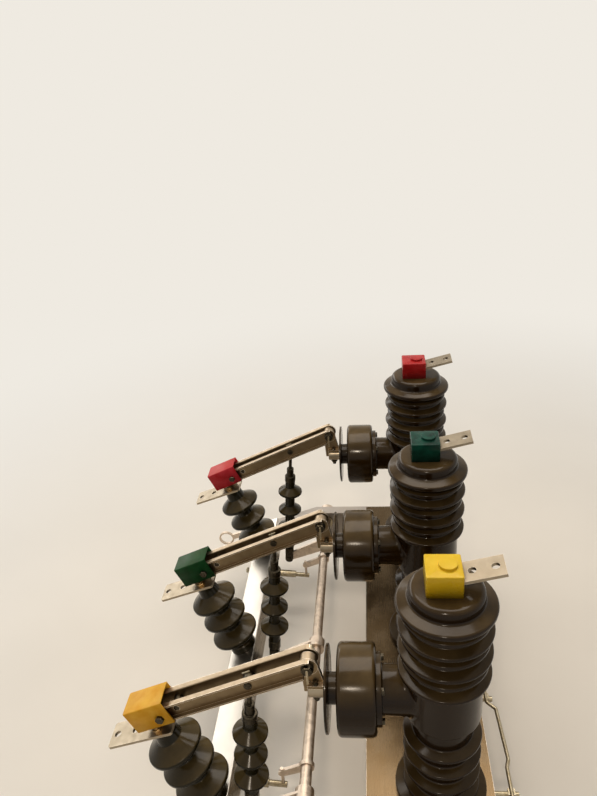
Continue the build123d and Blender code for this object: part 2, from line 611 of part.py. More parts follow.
def standoffs():
    """Two round bars out of the box wall, each with a clip block that the rod lies in."""
    parts = []
    near_x = BOX_RIGHT + SIDE_ROD_OUT
    bar_z = SIDE_ROD_Z - SIDE_ROD_R - STANDOFF_R
    for rod_x, y in ((near_x, STANDOFF_NEAR_Y), (near_x - SIDE_ROD_JOG, STANDOFF_FAR_Y)):
        clip = Pos(rod_x, y, bar_z) * Box(CLIP_SIZE, CLIP_SIZE, SIDE_ROD_Z - bar_z,
                                          align=(Align.CENTER, Align.CENTER, Align.MIN))
        length = rod_x + STANDOFF_END - BOX_RIGHT
        bar = Pos(BOX_RIGHT + length / 2, y, bar_z) * Rot(0, 90, 0) * Cylinder(STANDOFF_R, length)
        parts.append(bar + clip - cross_pin(rod_x, SIDE_ROD_Z, SIDE_ROD_R, 2 * CLIP_SIZE, y))
    return Compound(children=parts)


# Moving pieces
def blade_bar(side):
    """Channel bar, open outwards, with a round hinge end. Its lower flange stops short of the hinge."""
    half = BAR_HEIGHT / 2
    length = BLADE_LENGTH + half
    inner_y = side * BAR_GAP / 2
    web_y = inner_y + side * BAR_WEB_T / 2
    flange_y = inner_y + side * BAR_FLANGE / 2
    start = (Align.MIN, Align.CENTER, Align.CENTER)
    bar = Pos(-BLADE_LENGTH, web_y, 0) * Box(length, BAR_WEB_T, BAR_HEIGHT, align=start)
    for top in (-1, 1):
        flange = Box(length, BAR_FLANGE, BAR_WEB_T, align=start)
        bar += Pos(-BLADE_LENGTH, flange_y, top * (half - BAR_WEB_T / 2)) * flange
    folds = [edge for edge in bar.edges().filter_by(Axis.X)
             if abs(edge.center().Y - inner_y) < RIM_FLAT and abs(edge.center().Z) > half - RIM_FLAT]
    bar = fillet(folds, BAR_BEND_R)
    kept = side_profile([(-BLADE_LENGTH, -half), (0, -half), (0, half), (-BLADE_LENGTH, half)],
                        4 * BAR_GAP)
    bar = bar & (kept + cross_pin(0, 0, half, 4 * BAR_GAP))
    flange_end = Box(FLANGE_START + half, BAR_FLANGE, 2 * BAR_WEB_T, align=start)
    bar -= Pos(-FLANGE_START, flange_y + side * BAR_WEB_T, -half) * flange_end
    for at, radius in ((0, HINGE_PIN_R), (MID_PIN_AT, MID_PIN_R), (TIP_SPACER_AT, MID_PIN_R)):
        bar -= cross_pin(-at, 0, radius + PIN_CLEARANCE, 4 * BAR_WEB_T, web_y)
    return tilted(bar, -BLADE_ANGLE, HINGE_X, HINGE_Z)


def blade():
    """Two channel bars back to back with a gap, built towards -X and then tilted."""
    return Compound(children=[blade_bar(side) for side in (-1, 1)])


def hexagon(radius, thickness, inner_y, side):
    """A nut or bolt head about the origin's Y axis, from its inner face outwards."""
    prism = extrude(RegularPolygon(radius, 6), amount=thickness)
    return Pos(0, side * inner_y, 0) * Rot(-90 * side, 0, 0) * prism


def blade_pins():
    """Hinge bolt with its nut, the pull rod's pin, and the bolt that ties the tips."""
    half = BAR_GAP / 2 + BAR_WEB_T
    seat = half + WASHER_T
    near_end = seat + HINGE_HEAD_T
    far_end = seat + HINGE_NUT_T + PIN_END
    hinge_bolt = cross_pin(0, 0, HINGE_PIN_R, near_end + far_end, (far_end - near_end) / 2)
    hinge_bolt += hexagon(HINGE_NUT_R, HINGE_HEAD_T, seat, -1)
    hinge_bolt += hexagon(HINGE_NUT_R, HINGE_NUT_T, seat, 1)
    mid_pin = cross_pin(-MID_PIN_AT, 0, MID_PIN_R, 2 * (seat + PIN_END))
    tip_bolt = cross_pin(-TIP_SPACER_AT, 0, MID_PIN_R, 2 * (seat + PIN_END))
    tip_bolt += cross_pin(-TIP_SPACER_AT, 0, TIP_SPACER_R, BAR_GAP)
    pins = []
    for pin, at, washer_r in ((hinge_bolt, 0, HINGE_WASHER_R), (mid_pin, MID_PIN_AT, PIN_WASHER_R),
                              (tip_bolt, TIP_SPACER_AT, PIN_WASHER_R)):
        for side in (-1, 1):
            pin += cross_pin(-at, 0, washer_r, WASHER_T, side * (half + WASHER_T / 2))
        pins.append(tilted(pin, -BLADE_ANGLE, HINGE_X, HINGE_Z))
    return Compound(children=pins)


def tip_cover():
    """Box over the tip of the blade, open below and towards the hinge."""
    outer_half = BLADE_HALF_WIDTH + COVER_SIDE_CLEARANCE + COVER_WALL
    end = -(BLADE_LENGTH + COVER_END_GAP + COVER_WALL)
    height = COVER_TOP - COVER_BOTTOM
    corner = (Align.MIN, Align.CENTER, Align.MIN)
    body = Pos(end, 0, COVER_BOTTOM) * Box(COVER_LENGTH, 2 * outer_half, height, align=corner)
    outer_edges = body.edges().filter_by(Axis.Z).group_by(Axis.X)[0]
    body = fillet(outer_edges, COVER_ROUND)
    body = fillet(body.edges().group_by(Axis.Z)[-1], COVER_ROUND / 2)
    room = Pos(end + COVER_WALL, 0, COVER_BOTTOM - COVER_WALL) * Box(
        COVER_LENGTH, 2 * (outer_half - COVER_WALL), height, align=corner)
    return tilted(body - room, -BLADE_ANGLE, HINGE_X, HINGE_Z)


def pull_rod():
    """Insulator with a fork below and an eye on a stud above, built upright on its foot pin."""
    ear_width = FORK_GAP + 2 * FORK_EAR_T
    fork_root = 2 * FORK_WIDTH
    rod = side_profile([(-FORK_WIDTH / 2, 0), (FORK_WIDTH / 2, 0), (FORK_WIDTH / 2, fork_root),
                        (-FORK_WIDTH / 2, fork_root)], ear_width)
    rod += cross_pin(0, 0, FORK_WIDTH / 2, ear_width)
    slot_top = fork_root - FORK_EAR_T
    rod -= side_profile([(-FORK_WIDTH, -FORK_WIDTH), (FORK_WIDTH, -FORK_WIDTH),
                         (FORK_WIDTH, slot_top), (-FORK_WIDTH, slot_top)], FORK_GAP)
    points = [(0, fork_root), (ROD_FERRULE_R, fork_root), (ROD_FERRULE_R, ROD_BODY_LOW),
              (ROD_CORE_R, ROD_BODY_LOW + SHED_RISE)]
    for number, rim in enumerate(ROD_SHED_RADII):
        level = ROD_SHED_FIRST + number * ROD_SHED_STEP
        points += shed(ROD_CORE_R, rim, level, ROD_SHED_LIP, ROD_SHED_RISE, SHED_DROP)
    body_high = level + ROD_NECK
    neck_low = body_high + ROD_FERRULE_T
    neck_high = neck_low + HEAD_NECK_T
    points += [(ROD_FERRULE_R, body_high), (ROD_FERRULE_R, neck_low, POST_HEAD_ROUND),
               (HEAD_NECK_R, neck_low), (HEAD_NECK_R, neck_high, POST_HEAD_ROUND),
               (HEAD_STUD_R, neck_high), (HEAD_STUD_R, ROD_LENGTH), (0, ROD_LENGTH)]
    rod += lathe(points)
    rod += cross_pin(0, ROD_LENGTH, HEAD_EYE_R, BAR_GAP - 2 * HEAD_SIDE_CLEARANCE)
    rod -= cross_pin(0, ROD_LENGTH, MID_PIN_R + PIN_CLEARANCE, 2 * BAR_GAP)
    rod += cross_pin(0, 0, ROD_PIN_R, ear_width + 2 * FORK_PIN_END)
    return tilted(rod, ROD_TILT, CRANK_PIN[0], CRANK_PIN[1])


def stop_finger():
    """Short arm beside the cranks' direction, with an upright screw that rests on a stop rod."""
    arm_plate = side_profile([(0, -FINGER_ARM_ROOT / 2), (0, FINGER_ARM_ROOT / 2),
                              (-FINGER_ARM_LENGTH, FINGER_ARM_EYE_R),
                              (-FINGER_ARM_LENGTH, -FINGER_ARM_EYE_R)], FINGER_ARM_T)
    arm_plate += cross_pin(-FINGER_ARM_LENGTH, 0, FINGER_ARM_EYE_R, FINGER_ARM_T)
    finger = tilted(arm_plate, -BLADE_ANGLE, SHAFT_X, SHAFT_Z)
    screw_x = SHAFT_X + FINGER_ARM_LENGTH * BLADE_DIR[0]
    eye_z = SHAFT_Z + FINGER_ARM_LENGTH * BLADE_DIR[1]
    slope = radians(STOP_ROD_SLOPE)
    rod_z = STOP_ROD_Z - (screw_x - STOP_ROD_X) * math.tan(slope)
    screw_low = rod_z + STOP_SLEEVE_R / math.cos(slope) + STOP_GAP
    screw_high = eye_z + FINGER_ARM_EYE_R + STOP_SCREW_OUT
    screw = Pos(screw_x, 0, screw_low) * Cylinder(STOP_SCREW_R, screw_high - screw_low,
                                                  align=(Align.CENTER, Align.CENTER, Align.MIN))
    return finger + screw


def isolator_shaft():
    """Round shaft through both arms, cross-drilled at its near end, with two stop collars."""
    reach = BOX_HALF_LENGTH + ARM_T + SHAFT_OVERHANG
    shaft = cross_pin(SHAFT_X, SHAFT_Z, SHAFT_R, 2 * reach)
    for side in (-1, 1):
        shaft += cross_pin(SHAFT_X, SHAFT_Z, COLLAR_R, COLLAR_LENGTH, side * COLLAR_Y)
        shaft += Pos(0, side * COLLAR_Y, 0) * stop_finger()
    hole = Pos(SHAFT_X, SHAFT_HOLE_INSET - reach, SHAFT_Z) * Cylinder(SHAFT_HOLE_R, 4 * SHAFT_R)
    return shaft - hole


def crank():
    """Flat arm on a hub, from the shaft to an eye in the lower fork of a pull rod."""
    reach = MID_PIN_AT
    arm_plate = side_profile([(0, -CRANK_HUB_R), (0, CRANK_HUB_R), (-reach, CRANK_EYE_R),
                              (-reach, -CRANK_EYE_R)], CRANK_T)
    arm_plate += cross_pin(-reach, 0, CRANK_EYE_R, FORK_GAP - 2 * CRANK_EYE_CLEARANCE)
    arm_plate += cross_pin(0, 0, CRANK_HUB_R, CRANK_HUB_LENGTH)
    arm_plate -= cross_pin(0, 0, SHAFT_R, 2 * CRANK_HUB_LENGTH)
    arm_plate -= cross_pin(-reach, 0, ROD_PIN_R + OPEN_PIVOT_CLEARANCE, 4 * CRANK_T)
    return tilted(arm_plate, -BLADE_ANGLE, SHAFT_X, SHAFT_Z)


def operating_lever():
    """Flat lever on the far end of the shaft, with a ring at its tip."""
    plate = side_profile([(0, -LEVER_WIDTH / 2), (0, LEVER_WIDTH / 2),
                          (-LEVER_LENGTH, LEVER_WIDTH / 3), (-LEVER_LENGTH, -LEVER_WIDTH / 3)],
                         LEVER_T)
    plate += cross_pin(-LEVER_LENGTH, 0, LEVER_RING_R, LEVER_T)
    plate += cross_pin(0, 0, LEVER_HUB_R, LEVER_HUB_LENGTH)
    plate -= cross_pin(0, 0, SHAFT_R, 2 * LEVER_HUB_LENGTH)
    plate -= cross_pin(-LEVER_LENGTH, 0, LEVER_RING_BORE_R, 4 * LEVER_T)
    lever_y = BOX_HALF_LENGTH + ARM_T + SHAFT_OVERHANG - LEVER_HUB_LENGTH / 2
    return Pos(0, lever_y, 0) * tilted(plate, -LEVER_ANGLE, SHAFT_X, SHAFT_Z)


def save(name, shape):
    export_step(shape, "parts/" + name + ".step")


def main():
    os.makedirs("parts", exist_ok=True)
    save("base_box", base_box())
    save("box_top_plate", box_top_plate())
    save("arm_near", arm(-1))
    save("arm_far", arm(1))
    save("crossbar", crossbar())
    save("bearing_near", shaft_bearing(-1))
    save("bearing_far", shaft_bearing(1))
    save("side_rod", side_rod())
    save("side_standoffs", standoffs())
    save("stop_rods", stop_rods())
    save("isolator_shaft", isolator_shaft())
    save("operating_lever", operating_lever())
    save("shaft_cranks", Compound(children=[Pos(0, y, 0) * crank() for y in PHASES.values()]))
    per_phase = {"pole": pole(), "transformer": transformer(), "outlet": outlet(),
                 "hinge_bracket": hinge_bracket(), "top_terminal": top_terminal(),
                 "top_cover": top_cover(), "post_insulator": post_insulator(),
                 "fixed_contact": fixed_contact(), "blade": blade(), "blade_pins": blade_pins(),
                 "tip_cover": tip_cover(), "pull_rod": pull_rod()}
    for phase, y in PHASES.items():
        for name, shape in per_phase.items():
            save(name + "_" + phase, Pos(0, y, 0) * shape)
    print("pull rod:", round(ROD_LENGTH, 3), "mm between pins, leaning", round(ROD_TILT, 3), "degrees")
    print("post head at", [round(value, 3) for value in POST_TOP])


main()
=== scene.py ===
# %% [markdown]
# # An outdoor vacuum breaker, dressed for the camera
#
# The engineer's solids come in first and stay where they are. Every new surface is placed from a
# node's box, or from the same sizes that the solids use.

import json
import math

import bmesh
import bpy
import numpy as np
from mathutils import Matrix, Vector


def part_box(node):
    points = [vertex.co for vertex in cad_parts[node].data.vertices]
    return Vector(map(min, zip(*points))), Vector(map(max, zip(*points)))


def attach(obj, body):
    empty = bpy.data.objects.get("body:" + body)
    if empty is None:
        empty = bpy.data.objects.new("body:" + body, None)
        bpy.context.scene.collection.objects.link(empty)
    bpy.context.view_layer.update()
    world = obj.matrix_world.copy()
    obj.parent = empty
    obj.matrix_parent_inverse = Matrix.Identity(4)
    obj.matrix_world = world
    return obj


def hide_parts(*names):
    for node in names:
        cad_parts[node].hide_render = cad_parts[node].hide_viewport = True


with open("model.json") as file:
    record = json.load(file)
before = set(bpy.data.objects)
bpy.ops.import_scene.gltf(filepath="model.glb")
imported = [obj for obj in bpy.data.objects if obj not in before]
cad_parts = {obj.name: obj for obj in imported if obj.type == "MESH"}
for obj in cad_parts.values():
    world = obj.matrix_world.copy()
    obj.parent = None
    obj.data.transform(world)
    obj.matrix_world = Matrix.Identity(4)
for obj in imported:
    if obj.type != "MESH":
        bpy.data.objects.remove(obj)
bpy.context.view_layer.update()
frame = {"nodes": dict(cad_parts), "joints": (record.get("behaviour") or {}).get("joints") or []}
nodes, scene = frame["nodes"], bpy.context.scene
MM = 0.001
ROW = (-0.340, 0.0, 0.340)
PHASES = dict(zip("abc", ROW))

# %% [markdown]
# ## Colour and node helpers
#
# Colours are written as they read on a screen, in sRGB hex. The shaders work in linear light, so
# one function converts them. A second function adds a node and fills or links its sockets, which
# keeps each material below short.

# %% Helpers for colours and shader nodes
def linear(hex_colour):
    """sRGB hex to linear RGBA: a channel c becomes ((c + 0.055) / 1.055) ** 2.4, or c / 12.92 when dark."""
    channels = np.array([int(hex_colour[start:start + 2], 16) for start in (1, 3, 5)]) / 255
    bright = ((channels + 0.055) / 1.055) ** 2.4
    return (*np.where(channels <= 0.04045, channels / 12.92, bright), 1.0)


def add(tree, kind, sockets=None, **properties):
    """Add one node. A socket gets a value, or a link where it is given another node's output."""
    node = tree.nodes.new(kind)
    for name, value in properties.items():
        setattr(node, name, value)
    for name, value in (sockets or {}).items():
        if isinstance(value, bpy.types.NodeSocket):
            tree.links.new(value, node.inputs[name])
        else:
            node.inputs[name].default_value = value
    return node


def start(name, colour, roughness, metallic=0.0, **sockets):
    """A new material: its tree, its principled shader and the Object coordinates."""
    material = bpy.data.materials.new(name)
    material.use_nodes = True
    tree = material.node_tree
    shader = tree.nodes["Principled BSDF"]
    values = {"Base Color": linear(colour), "Roughness": roughness, "Metallic": metallic}
    values.update({socket.replace("_", " "): value for socket, value in sockets.items()})
    for socket, value in values.items():
        shader.inputs[socket].default_value = value
    place = add(tree, "ShaderNodeTexCoord").outputs["Object"]
    print("material", name, "from", colour)
    return material, tree, shader, place


def noise(tree, place, size_mm, detail=4.0, stretch=(1, 1, 1)):
    """Soft noise with blobs about size_mm wide, longer along an axis whose stretch is above 1."""
    scale = [1 / (size_mm * MM * factor) for factor in stretch]
    mapped = add(tree, "ShaderNodeMapping", {"Vector": place, "Scale": scale}).outputs["Vector"]
    return add(tree, "ShaderNodeTexNoise", {"Vector": mapped, "Scale": 1.0, "Detail": detail}).outputs["Fac"]


def between(tree, factor, low=0.0, high=1.0, start_at=0.3, end_at=0.7):
    """Stretch a pattern between two values, from where it starts to where it ends."""
    sockets = {"Value": factor, "From Min": start_at, "From Max": end_at, "To Min": low, "To Max": high}
    return add(tree, "ShaderNodeMapRange", sockets).outputs["Result"]


def blend(tree, factor, first, second):
    """Mix two colours by a pattern. A colour is a hex word or another node's output."""
    sockets = {0: factor}
    for number, colour in ((6, first), (7, second)):
        sockets[number] = linear(colour) if isinstance(colour, str) else colour
    return add(tree, "ShaderNodeMix", sockets, data_type="RGBA").outputs[2]


def combined(tree, operation, first, second):
    """One result from two patterns or numbers, by a plain operation."""
    return add(tree, "ShaderNodeMath", {0: first, 1: second}, operation=operation).outputs[0]


def relief(tree, shader, height, depth_mm):
    """Use a pattern as bumps that are depth_mm deep."""
    node = add(tree, "ShaderNodeBump", {"Height": height, "Distance": depth_mm * MM})
    tree.links.new(node.outputs["Normal"], shader.inputs["Normal"])


def edge_wear_and_highlight_mask(tree, radius_mm):
    """1 along real edges and 0 on flat faces. The materials paint their edges paler with it: wear on
    plastic, and on metal also a painted highlight. The bevel node rounds the normal within the radius, so the
    rounded and the true normal differ only beside an edge, and their dot product drops below one."""
    soft = add(tree, "ShaderNodeBevel", {"Radius": radius_mm * MM}, samples=6).outputs[0]
    true = add(tree, "ShaderNodeNewGeometry").outputs["Normal"]
    alike = add(tree, "ShaderNodeVectorMath", {0: soft, 1: true}, operation="DOT_PRODUCT").outputs["Value"]
    return between(tree, alike, 1.0, 0.0, 0.8, 0.97)


print("mid grey is", [round(value, 3) for value in linear("#808080")[:3]])

# %% [markdown]
# ## Dust, and painted top light, on what looks up
#
# A thin film of dust lies on faces that look up, and none on walls. The surface normal's upward
# part, broken up by soft noise, says how much film lies at a point. The film fades the colour
# towards warm grey, or brown on resin, and dulls the gloss. On resin the film also paints the
# light that falls on the tops, so that they read lighter than the sides: painted light.

# %% Dust and painted top light
DUST, RESIN_DUST_AND_TOP_LIGHT = "#b3a690", "#a48a5c"
FILM_PATCH_MM = 45


def upward(tree):
    """The upward part of the surface normal: 1 on a level top, 0 on a wall, -1 below."""
    normal = add(tree, "ShaderNodeNewGeometry").outputs["Normal"]
    return add(tree, "ShaderNodeSeparateXYZ", {0: normal}).outputs["Z"]


def dust_and_top_light(tree, shader, place, colour, roughness, amount, film_colour=DUST, dull=0.85):
    """Film factor = how far the surface looks up, times noise, times amount: dust, and on resin also painted
    top light. It joins colour and gloss.
    """
    facing = between(tree, upward(tree), 0.0, amount, 0.4, 0.95)
    patches = between(tree, noise(tree, place, FILM_PATCH_MM, 7.0), 0.35, 1.0)
    film = combined(tree, "MULTIPLY", facing, patches)
    tree.links.new(blend(tree, film, colour, film_colour), shader.inputs["Base Color"])
    rough = add(tree, "ShaderNodeMix", {0: film, 2: roughness, 3: dull}).outputs[0]
    tree.links.new(rough, shader.inputs["Roughness"])


print("dust is", DUST, "and on resin", RESIN_DUST_AND_TOP_LIGHT)

# %% [markdown]
# ## Cast epoxy resin
#
# Poles and transformer drums are cast in cycloaliphatic epoxy resin, dark brown and filled with
# silica. It leaves a polished steel mould with a clear gloss and a faint orange peel of about
# 3 mm, and the filler shows as a very fine mottle. Its index is about 1.52, and its specular
# level is low, because a pale backdrop lays a grey veil on so dark a gloss. The base colour is
# darker than the resin, as painted shade on the sides, and a brown film on the tops stands for
# dust and for painted light from above. The drums carry more of that film, and the leaning posts
# and pull rods are cast from a greener batch.

# %% Cast epoxy resin
def cast_resin(name, colour, shade, gloss, dust):
    """Resin mottled between two close colours, with orange peel and a brown film on its tops: dust, and
    painted light from above.
    """
    material, tree, shader, place = start(name, colour, gloss, IOR=1.52, Specular_IOR_Level=0.17)
    mottle = between(tree, noise(tree, place, 2.2, 8.0))
    cloud = between(tree, noise(tree, place, 70, 5.0), 0.0, 0.6)
    both = combined(tree, "MULTIPLY", mottle, cloud)
    colours = blend(tree, both, colour, shade)
    sheen = between(tree, noise(tree, place, 25, 6.0), gloss - 0.04, gloss + 0.08)
    dust_and_top_light(tree, shader, place, colours, sheen, dust, RESIN_DUST_AND_TOP_LIGHT, 0.3)
    relief(tree, shader, noise(tree, place, 3.2, 3.0), 0.035)
    return material


# The dark bases below are painted shade for the sides. The last number sets dust and painted top light
# together.
POLE_RESIN = cast_resin("cast_epoxy_resin", "#1f1203", "#2e1e09", 0.13, 0.16)
DRUM_RESIN = cast_resin("cast_epoxy_resin_drum", "#221503", "#32220a", 0.14, 0.26)
INSULATOR_RESIN = cast_resin("cast_resin_dark", "#1b1706", "#28220a", 0.15, 0.24)

# %% [markdown]
# ## Soft terminal covers
#
# The covers are moulded in soft PVC, one colour for each phase. Those on the blades have a satin
# skin with a fine spark-eroded texture, drawn at about 1 mm so that it shows. Those on the poles
# come from a polished mould and shine. Both turn slightly paler in patches and along their edges.

# %% Soft PVC in six colours
def soft_cover(name, colour, wear_and_highlight, gloss, dust):
    """Moulded plastic, paler in broad soft patches and along its edges, with a fine moulded grain."""
    material, tree, shader, place = start(name, colour, gloss, IOR=1.53, Specular_IOR_Level=0.16,
                                          Subsurface_Weight=0.05, Subsurface_Scale=0.004)
    marks = between(tree, noise(tree, place, 18, 6.0), 0.0, 0.55)
    marks = combined(tree, "MAXIMUM", marks, edge_wear_and_highlight_mask(tree, 1.2))
    sheen = between(tree, noise(tree, place, 30, 3.0), gloss - 0.06, gloss + 0.08)
    dust_and_top_light(tree, shader, place, blend(tree, marks, colour, wear_and_highlight), sheen, dust)
    relief(tree, shader, noise(tree, place, 1.1, 2.0), 0.03)
    return material


COVERS = {"a": soft_cover("soft_pvc_yellow", "#d5960a", "#eec24c", 0.42, 0.16),
          "b": soft_cover("soft_pvc_green", "#02340f", "#0d4d23", 0.42, 0.06),
          "c": soft_cover("soft_pvc_red", "#b0141c", "#cc4450", 0.42, 0.2)}
TOP_COVERS = {"a": soft_cover("gloss_pvc_lemon", "#d2ab10", "#e6c63c", 0.26, 0.03),
              "b": soft_cover("gloss_pvc_teal", "#03231b", "#185a4a", 0.2, 0.01),
              "c": soft_cover("gloss_pvc_crimson", "#9c0f14", "#bc3030", 0.24, 0.04)}

# %% [markdown]
# ## Metals
#
# The current path is copper with a plated coat of tin: pale and a little warm on the plates,
# darker on the blades and hinges as painted half-shade, with their upward faces painted lighter
# as light from above and their edges painted near-white as highlight lines. Box and channel are
# stainless sheet, brushed along their length, and the box is the darker one: its dark tan is
# painted shade and a painted warm reflection. The shaft, its cranks and its lever are hot-dip
# galvanised steel, which shows spangle. Bolts and nuts are plain zinc, zinc passivated to gold,
# or blackened steel, whose pale edges are painted highlights. The arms are steel under a grey
# powder coat. Bare metals keep the default index.

# %% Tinned copper
def tinned_copper(name, colour, stained, wear_and_highlight, gloss, edge_mm=0.9, painted_top_light=None):
    """Tin plate: fine rolling lines along X, soft stains, gloss that varies, and paler edges: wear, and on
    the blades painted highlight lines. Where a top colour is given, faces that look up are painted
    lighter than the sides, as painted light from above."""
    material, tree, shader, place = start(name, colour, gloss, 1.0)
    lines = between(tree, noise(tree, place, 0.8, 3.0, (40, 1, 1)))
    stains = between(tree, noise(tree, place, 22, 6.0), 0.0, 0.7)
    colours = blend(tree, stains, colour, stained)
    if painted_top_light:
        colours = blend(tree, between(tree, upward(tree), 0.0, 1.0, 0.5, 0.85), colours, painted_top_light)
    colours = blend(tree, edge_wear_and_highlight_mask(tree, edge_mm), colours, wear_and_highlight)
    sheen = between(tree, noise(tree, place, 12, 5.0), gloss - 0.06, gloss + 0.1)
    dust_and_top_light(tree, shader, place, colours, sheen, 0.12)
    relief(tree, shader, lines, 0.012)
    return material


TIN = tinned_copper("tin_plated_copper", "#a49783", "#8d806b", "#d4cab8", 0.34)
# The blades' tin: a darker base as painted half-shade, tops painted lighter as light from above, near-white
# edges as painted highlights.
BLADE_TIN = tinned_copper("tinned_copper_painted_shade", "#867459", "#705f47", "#fff4e2", 0.38, 1.5,
                          "#a39179")

# %% Stainless sheet, brushed along the box
def brushed_stainless(name, colour, cloudy, gloss, depth_mm):
    """Brushed grain drawn out 60 times along Y, with wide soft painted reflections and pale cut edges,
    painted as highlight lines.
    """
    material, tree, shader, place = start(name, colour, gloss, 1.0)
    grain = between(tree, noise(tree, place, 0.9, 4.0, (1, 60, 1)))
    waves = between(tree, noise(tree, place, 90, 4.0), 0.0, 0.5)
    colours = blend(tree, edge_wear_and_highlight_mask(tree, 1.0), blend(tree, waves, colour, cloudy), "#e6e0d6")
    sheen = between(tree, grain, gloss - 0.03, gloss + 0.04, 0.0, 1.0)
    dust_and_top_light(tree, shader, place, colours, sheen, 0.14)
    relief(tree, shader, grain, depth_mm)
    return material


STAINLESS = brushed_stainless("brushed_stainless", "#c5bfb6", "#aba49a", 0.28, 0.01)
# The box's sheet and wall are painted dark tan: painted shade, darkest on the top, and a painted warm
# reflection.
BOX_SHEET = brushed_stainless("brushed_stainless_painted_shade_and_reflection", "#5c482d", "#4c3b23", 0.2, 0.001)
BOX_WALL = brushed_stainless("brushed_stainless_wall_painted_reflection", "#7d6e58", "#6b5d49", 0.36, 0.004)

# %% Hot-dip galvanised steel
def galvanised():
    """Zinc spangle: flat crystals about 7 mm wide, each with its own tone and gloss."""
    material, tree, shader, place = start("hot_dip_galvanised", "#b7b6b1", 0.42, 1.0)
    crystals = add(tree, "ShaderNodeTexVoronoi", {"Vector": place, "Scale": 1 / (7 * MM)}).outputs["Color"]
    tone = add(tree, "ShaderNodeSeparateColor", {0: crystals}).outputs["Red"]
    colours = blend(tree, edge_wear_and_highlight_mask(tree, 0.9), blend(tree, tone, "#bfae9c", "#dacab8"), "#f0e6da")
    dust_and_top_light(tree, shader, place, colours, between(tree, tone, 0.34, 0.5, 0.0, 1.0), 0.15)
    relief(tree, shader, noise(tree, place, 4, 5.0), 0.04)
    return material


GALVANISED = galvanised()

# %% Passivated zinc on bolts and nuts
def plated_zinc(name, colour, tint, wear_and_highlight):
    """Bright zinc with a chromate tint that drifts over a few millimetres."""
    material, tree, shader, place = start(name, colour, 0.3, 1.0)
    drift = between(tree, noise(tree, place, 5, 4.0))
    sheen = between(tree, noise(tree, place, 3, 4.0), 0.22, 0.42)
    colours = blend(tree, edge_wear_and_highlight_mask(tree, 0.5), blend(tree, drift, colour, tint), wear_and_highlight)
    dust_and_top_light(tree, shader, place, colours, sheen, 0.1)
    relief(tree, shader, noise(tree, place, 0.7, 3.0), 0.01)
    return material


ZINC = plated_zinc("plated_zinc", "#aea48e", "#948566", "#d8cfba")
BRASS_TONE = plated_zinc("passivated_zinc", "#8d6f45", "#a5875a", "#d9bf92")
# On the blackened steel the pale edges are painted highlights, as on the rod fittings' edges.
BLACK_STEEL = plated_zinc("blackened_steel", "#484236", "#302b22", "#a3977f")

# %% Grey powder coat on the arms
def powder_coat():
    """Pale grey powder coat with orange peel of about 1.5 mm and faint scuffs."""
    material, tree, shader, place = start("grey_powder_coat", "#aca399", 0.45, IOR=1.5)
    scuffs = between(tree, noise(tree, place, 35, 8.0, (3, 1, 1)), 0.0, 0.6)
    colours = blend(tree, scuffs, "#aca399", "#998f84")
    dust_and_top_light(tree, shader, place, colours, between(tree, scuffs, 0.4, 0.55, 0.0, 1.0), 0.22)
    relief(tree, shader, noise(tree, place, 1.5, 2.0), 0.05)
    return material


PAINT = powder_coat()

# %% [markdown]
# ## Surfaces as arrays
#
# Each new piece is a grid of points, worked out as one array. Most are a profile with rounded
# corners, turned about an axis. One helper rounds the corners of an outline, one turns a profile,
# and two stand the result where the real piece stands.

# %% Outlines, turned surfaces and placing
SEGMENTS, ARC_STEPS = 96, 8


def rounded(corners, steps=ARC_STEPS):
    """Points of an outline in mm. A corner (a, b, radius) becomes an arc that is tangent to both sides.
    The arc runs between the two tangent points: sin((1-t)w) * start + sin(tw) * end, over sin(w)."""
    path = []
    for number, corner in enumerate(corners):
        here = np.array(corner[:2], float)
        if len(corner) == 2:
            path.append(here[None])
            continue
        back = np.array(corners[number - 1][:2]) - here
        ahead = np.array(corners[(number + 1) % len(corners)][:2]) - here
        back, ahead = back / np.linalg.norm(back), ahead / np.linalg.norm(ahead)
        half = math.acos(np.clip(back @ ahead, -1, 1)) / 2
        middle = (back + ahead) / np.linalg.norm(back + ahead) * corner[2] / math.sin(half)
        reach = corner[2] / math.tan(half)
        first, last, sweep = back * reach - middle, ahead * reach - middle, math.pi - 2 * half
        t = np.linspace(0, 1, steps)[:, None]
        arc = (np.sin((1 - t) * sweep) * first + np.sin(t * sweep) * last) / math.sin(sweep)
        path.append(here + middle + arc)
    return np.concatenate(path)


def turned(corners, segments=SEGMENTS, steps=ARC_STEPS):
    """Point (u, v) = (r(u) cos v, r(u) sin v, z(u)), in metres, from a profile's corners (r, z) in mm."""
    v = np.linspace(0, 2 * math.pi, segments, endpoint=False)
    profile = rounded(corners, steps) * MM
    r, z = profile[:, :1], profile[:, 1:]
    return np.stack([r * np.cos(v), r * np.sin(v), z + 0 * v], axis=-1)


def plug(radius, low, high, edge=0.6):
    """Corners of a round piece from low to high, with rounded rims."""
    return [(0, low), (radius, low, edge), (radius, high, edge), (0, high)]


def six_sided(radius, seat, top, chamfer, narrowed):
    """Corners of a nut or bolt head, to be turned in six steps, with a chamfer at its top."""
    cut = top - math.copysign(chamfer, top - seat)
    return [(0, seat), (radius, seat), (radius, cut), (narrowed * radius, top), (0, top)]


def stood(points, origin, axis=(0, 0, 1)):
    """Turn points so that their Z runs along the axis, then move them to the origin given, in metres."""
    turn = np.array(Vector(axis).to_track_quat("Z", "Y").to_matrix())
    return points @ turn.T + np.array(origin, float)


def tilted(points, degrees, origin):
    """Turn points about Y, as the leaning solids are turned, then move them to the origin given."""
    turn = np.array(Matrix.Rotation(math.radians(degrees), 3, "Y"))
    return points @ turn.T + np.array(origin, float)


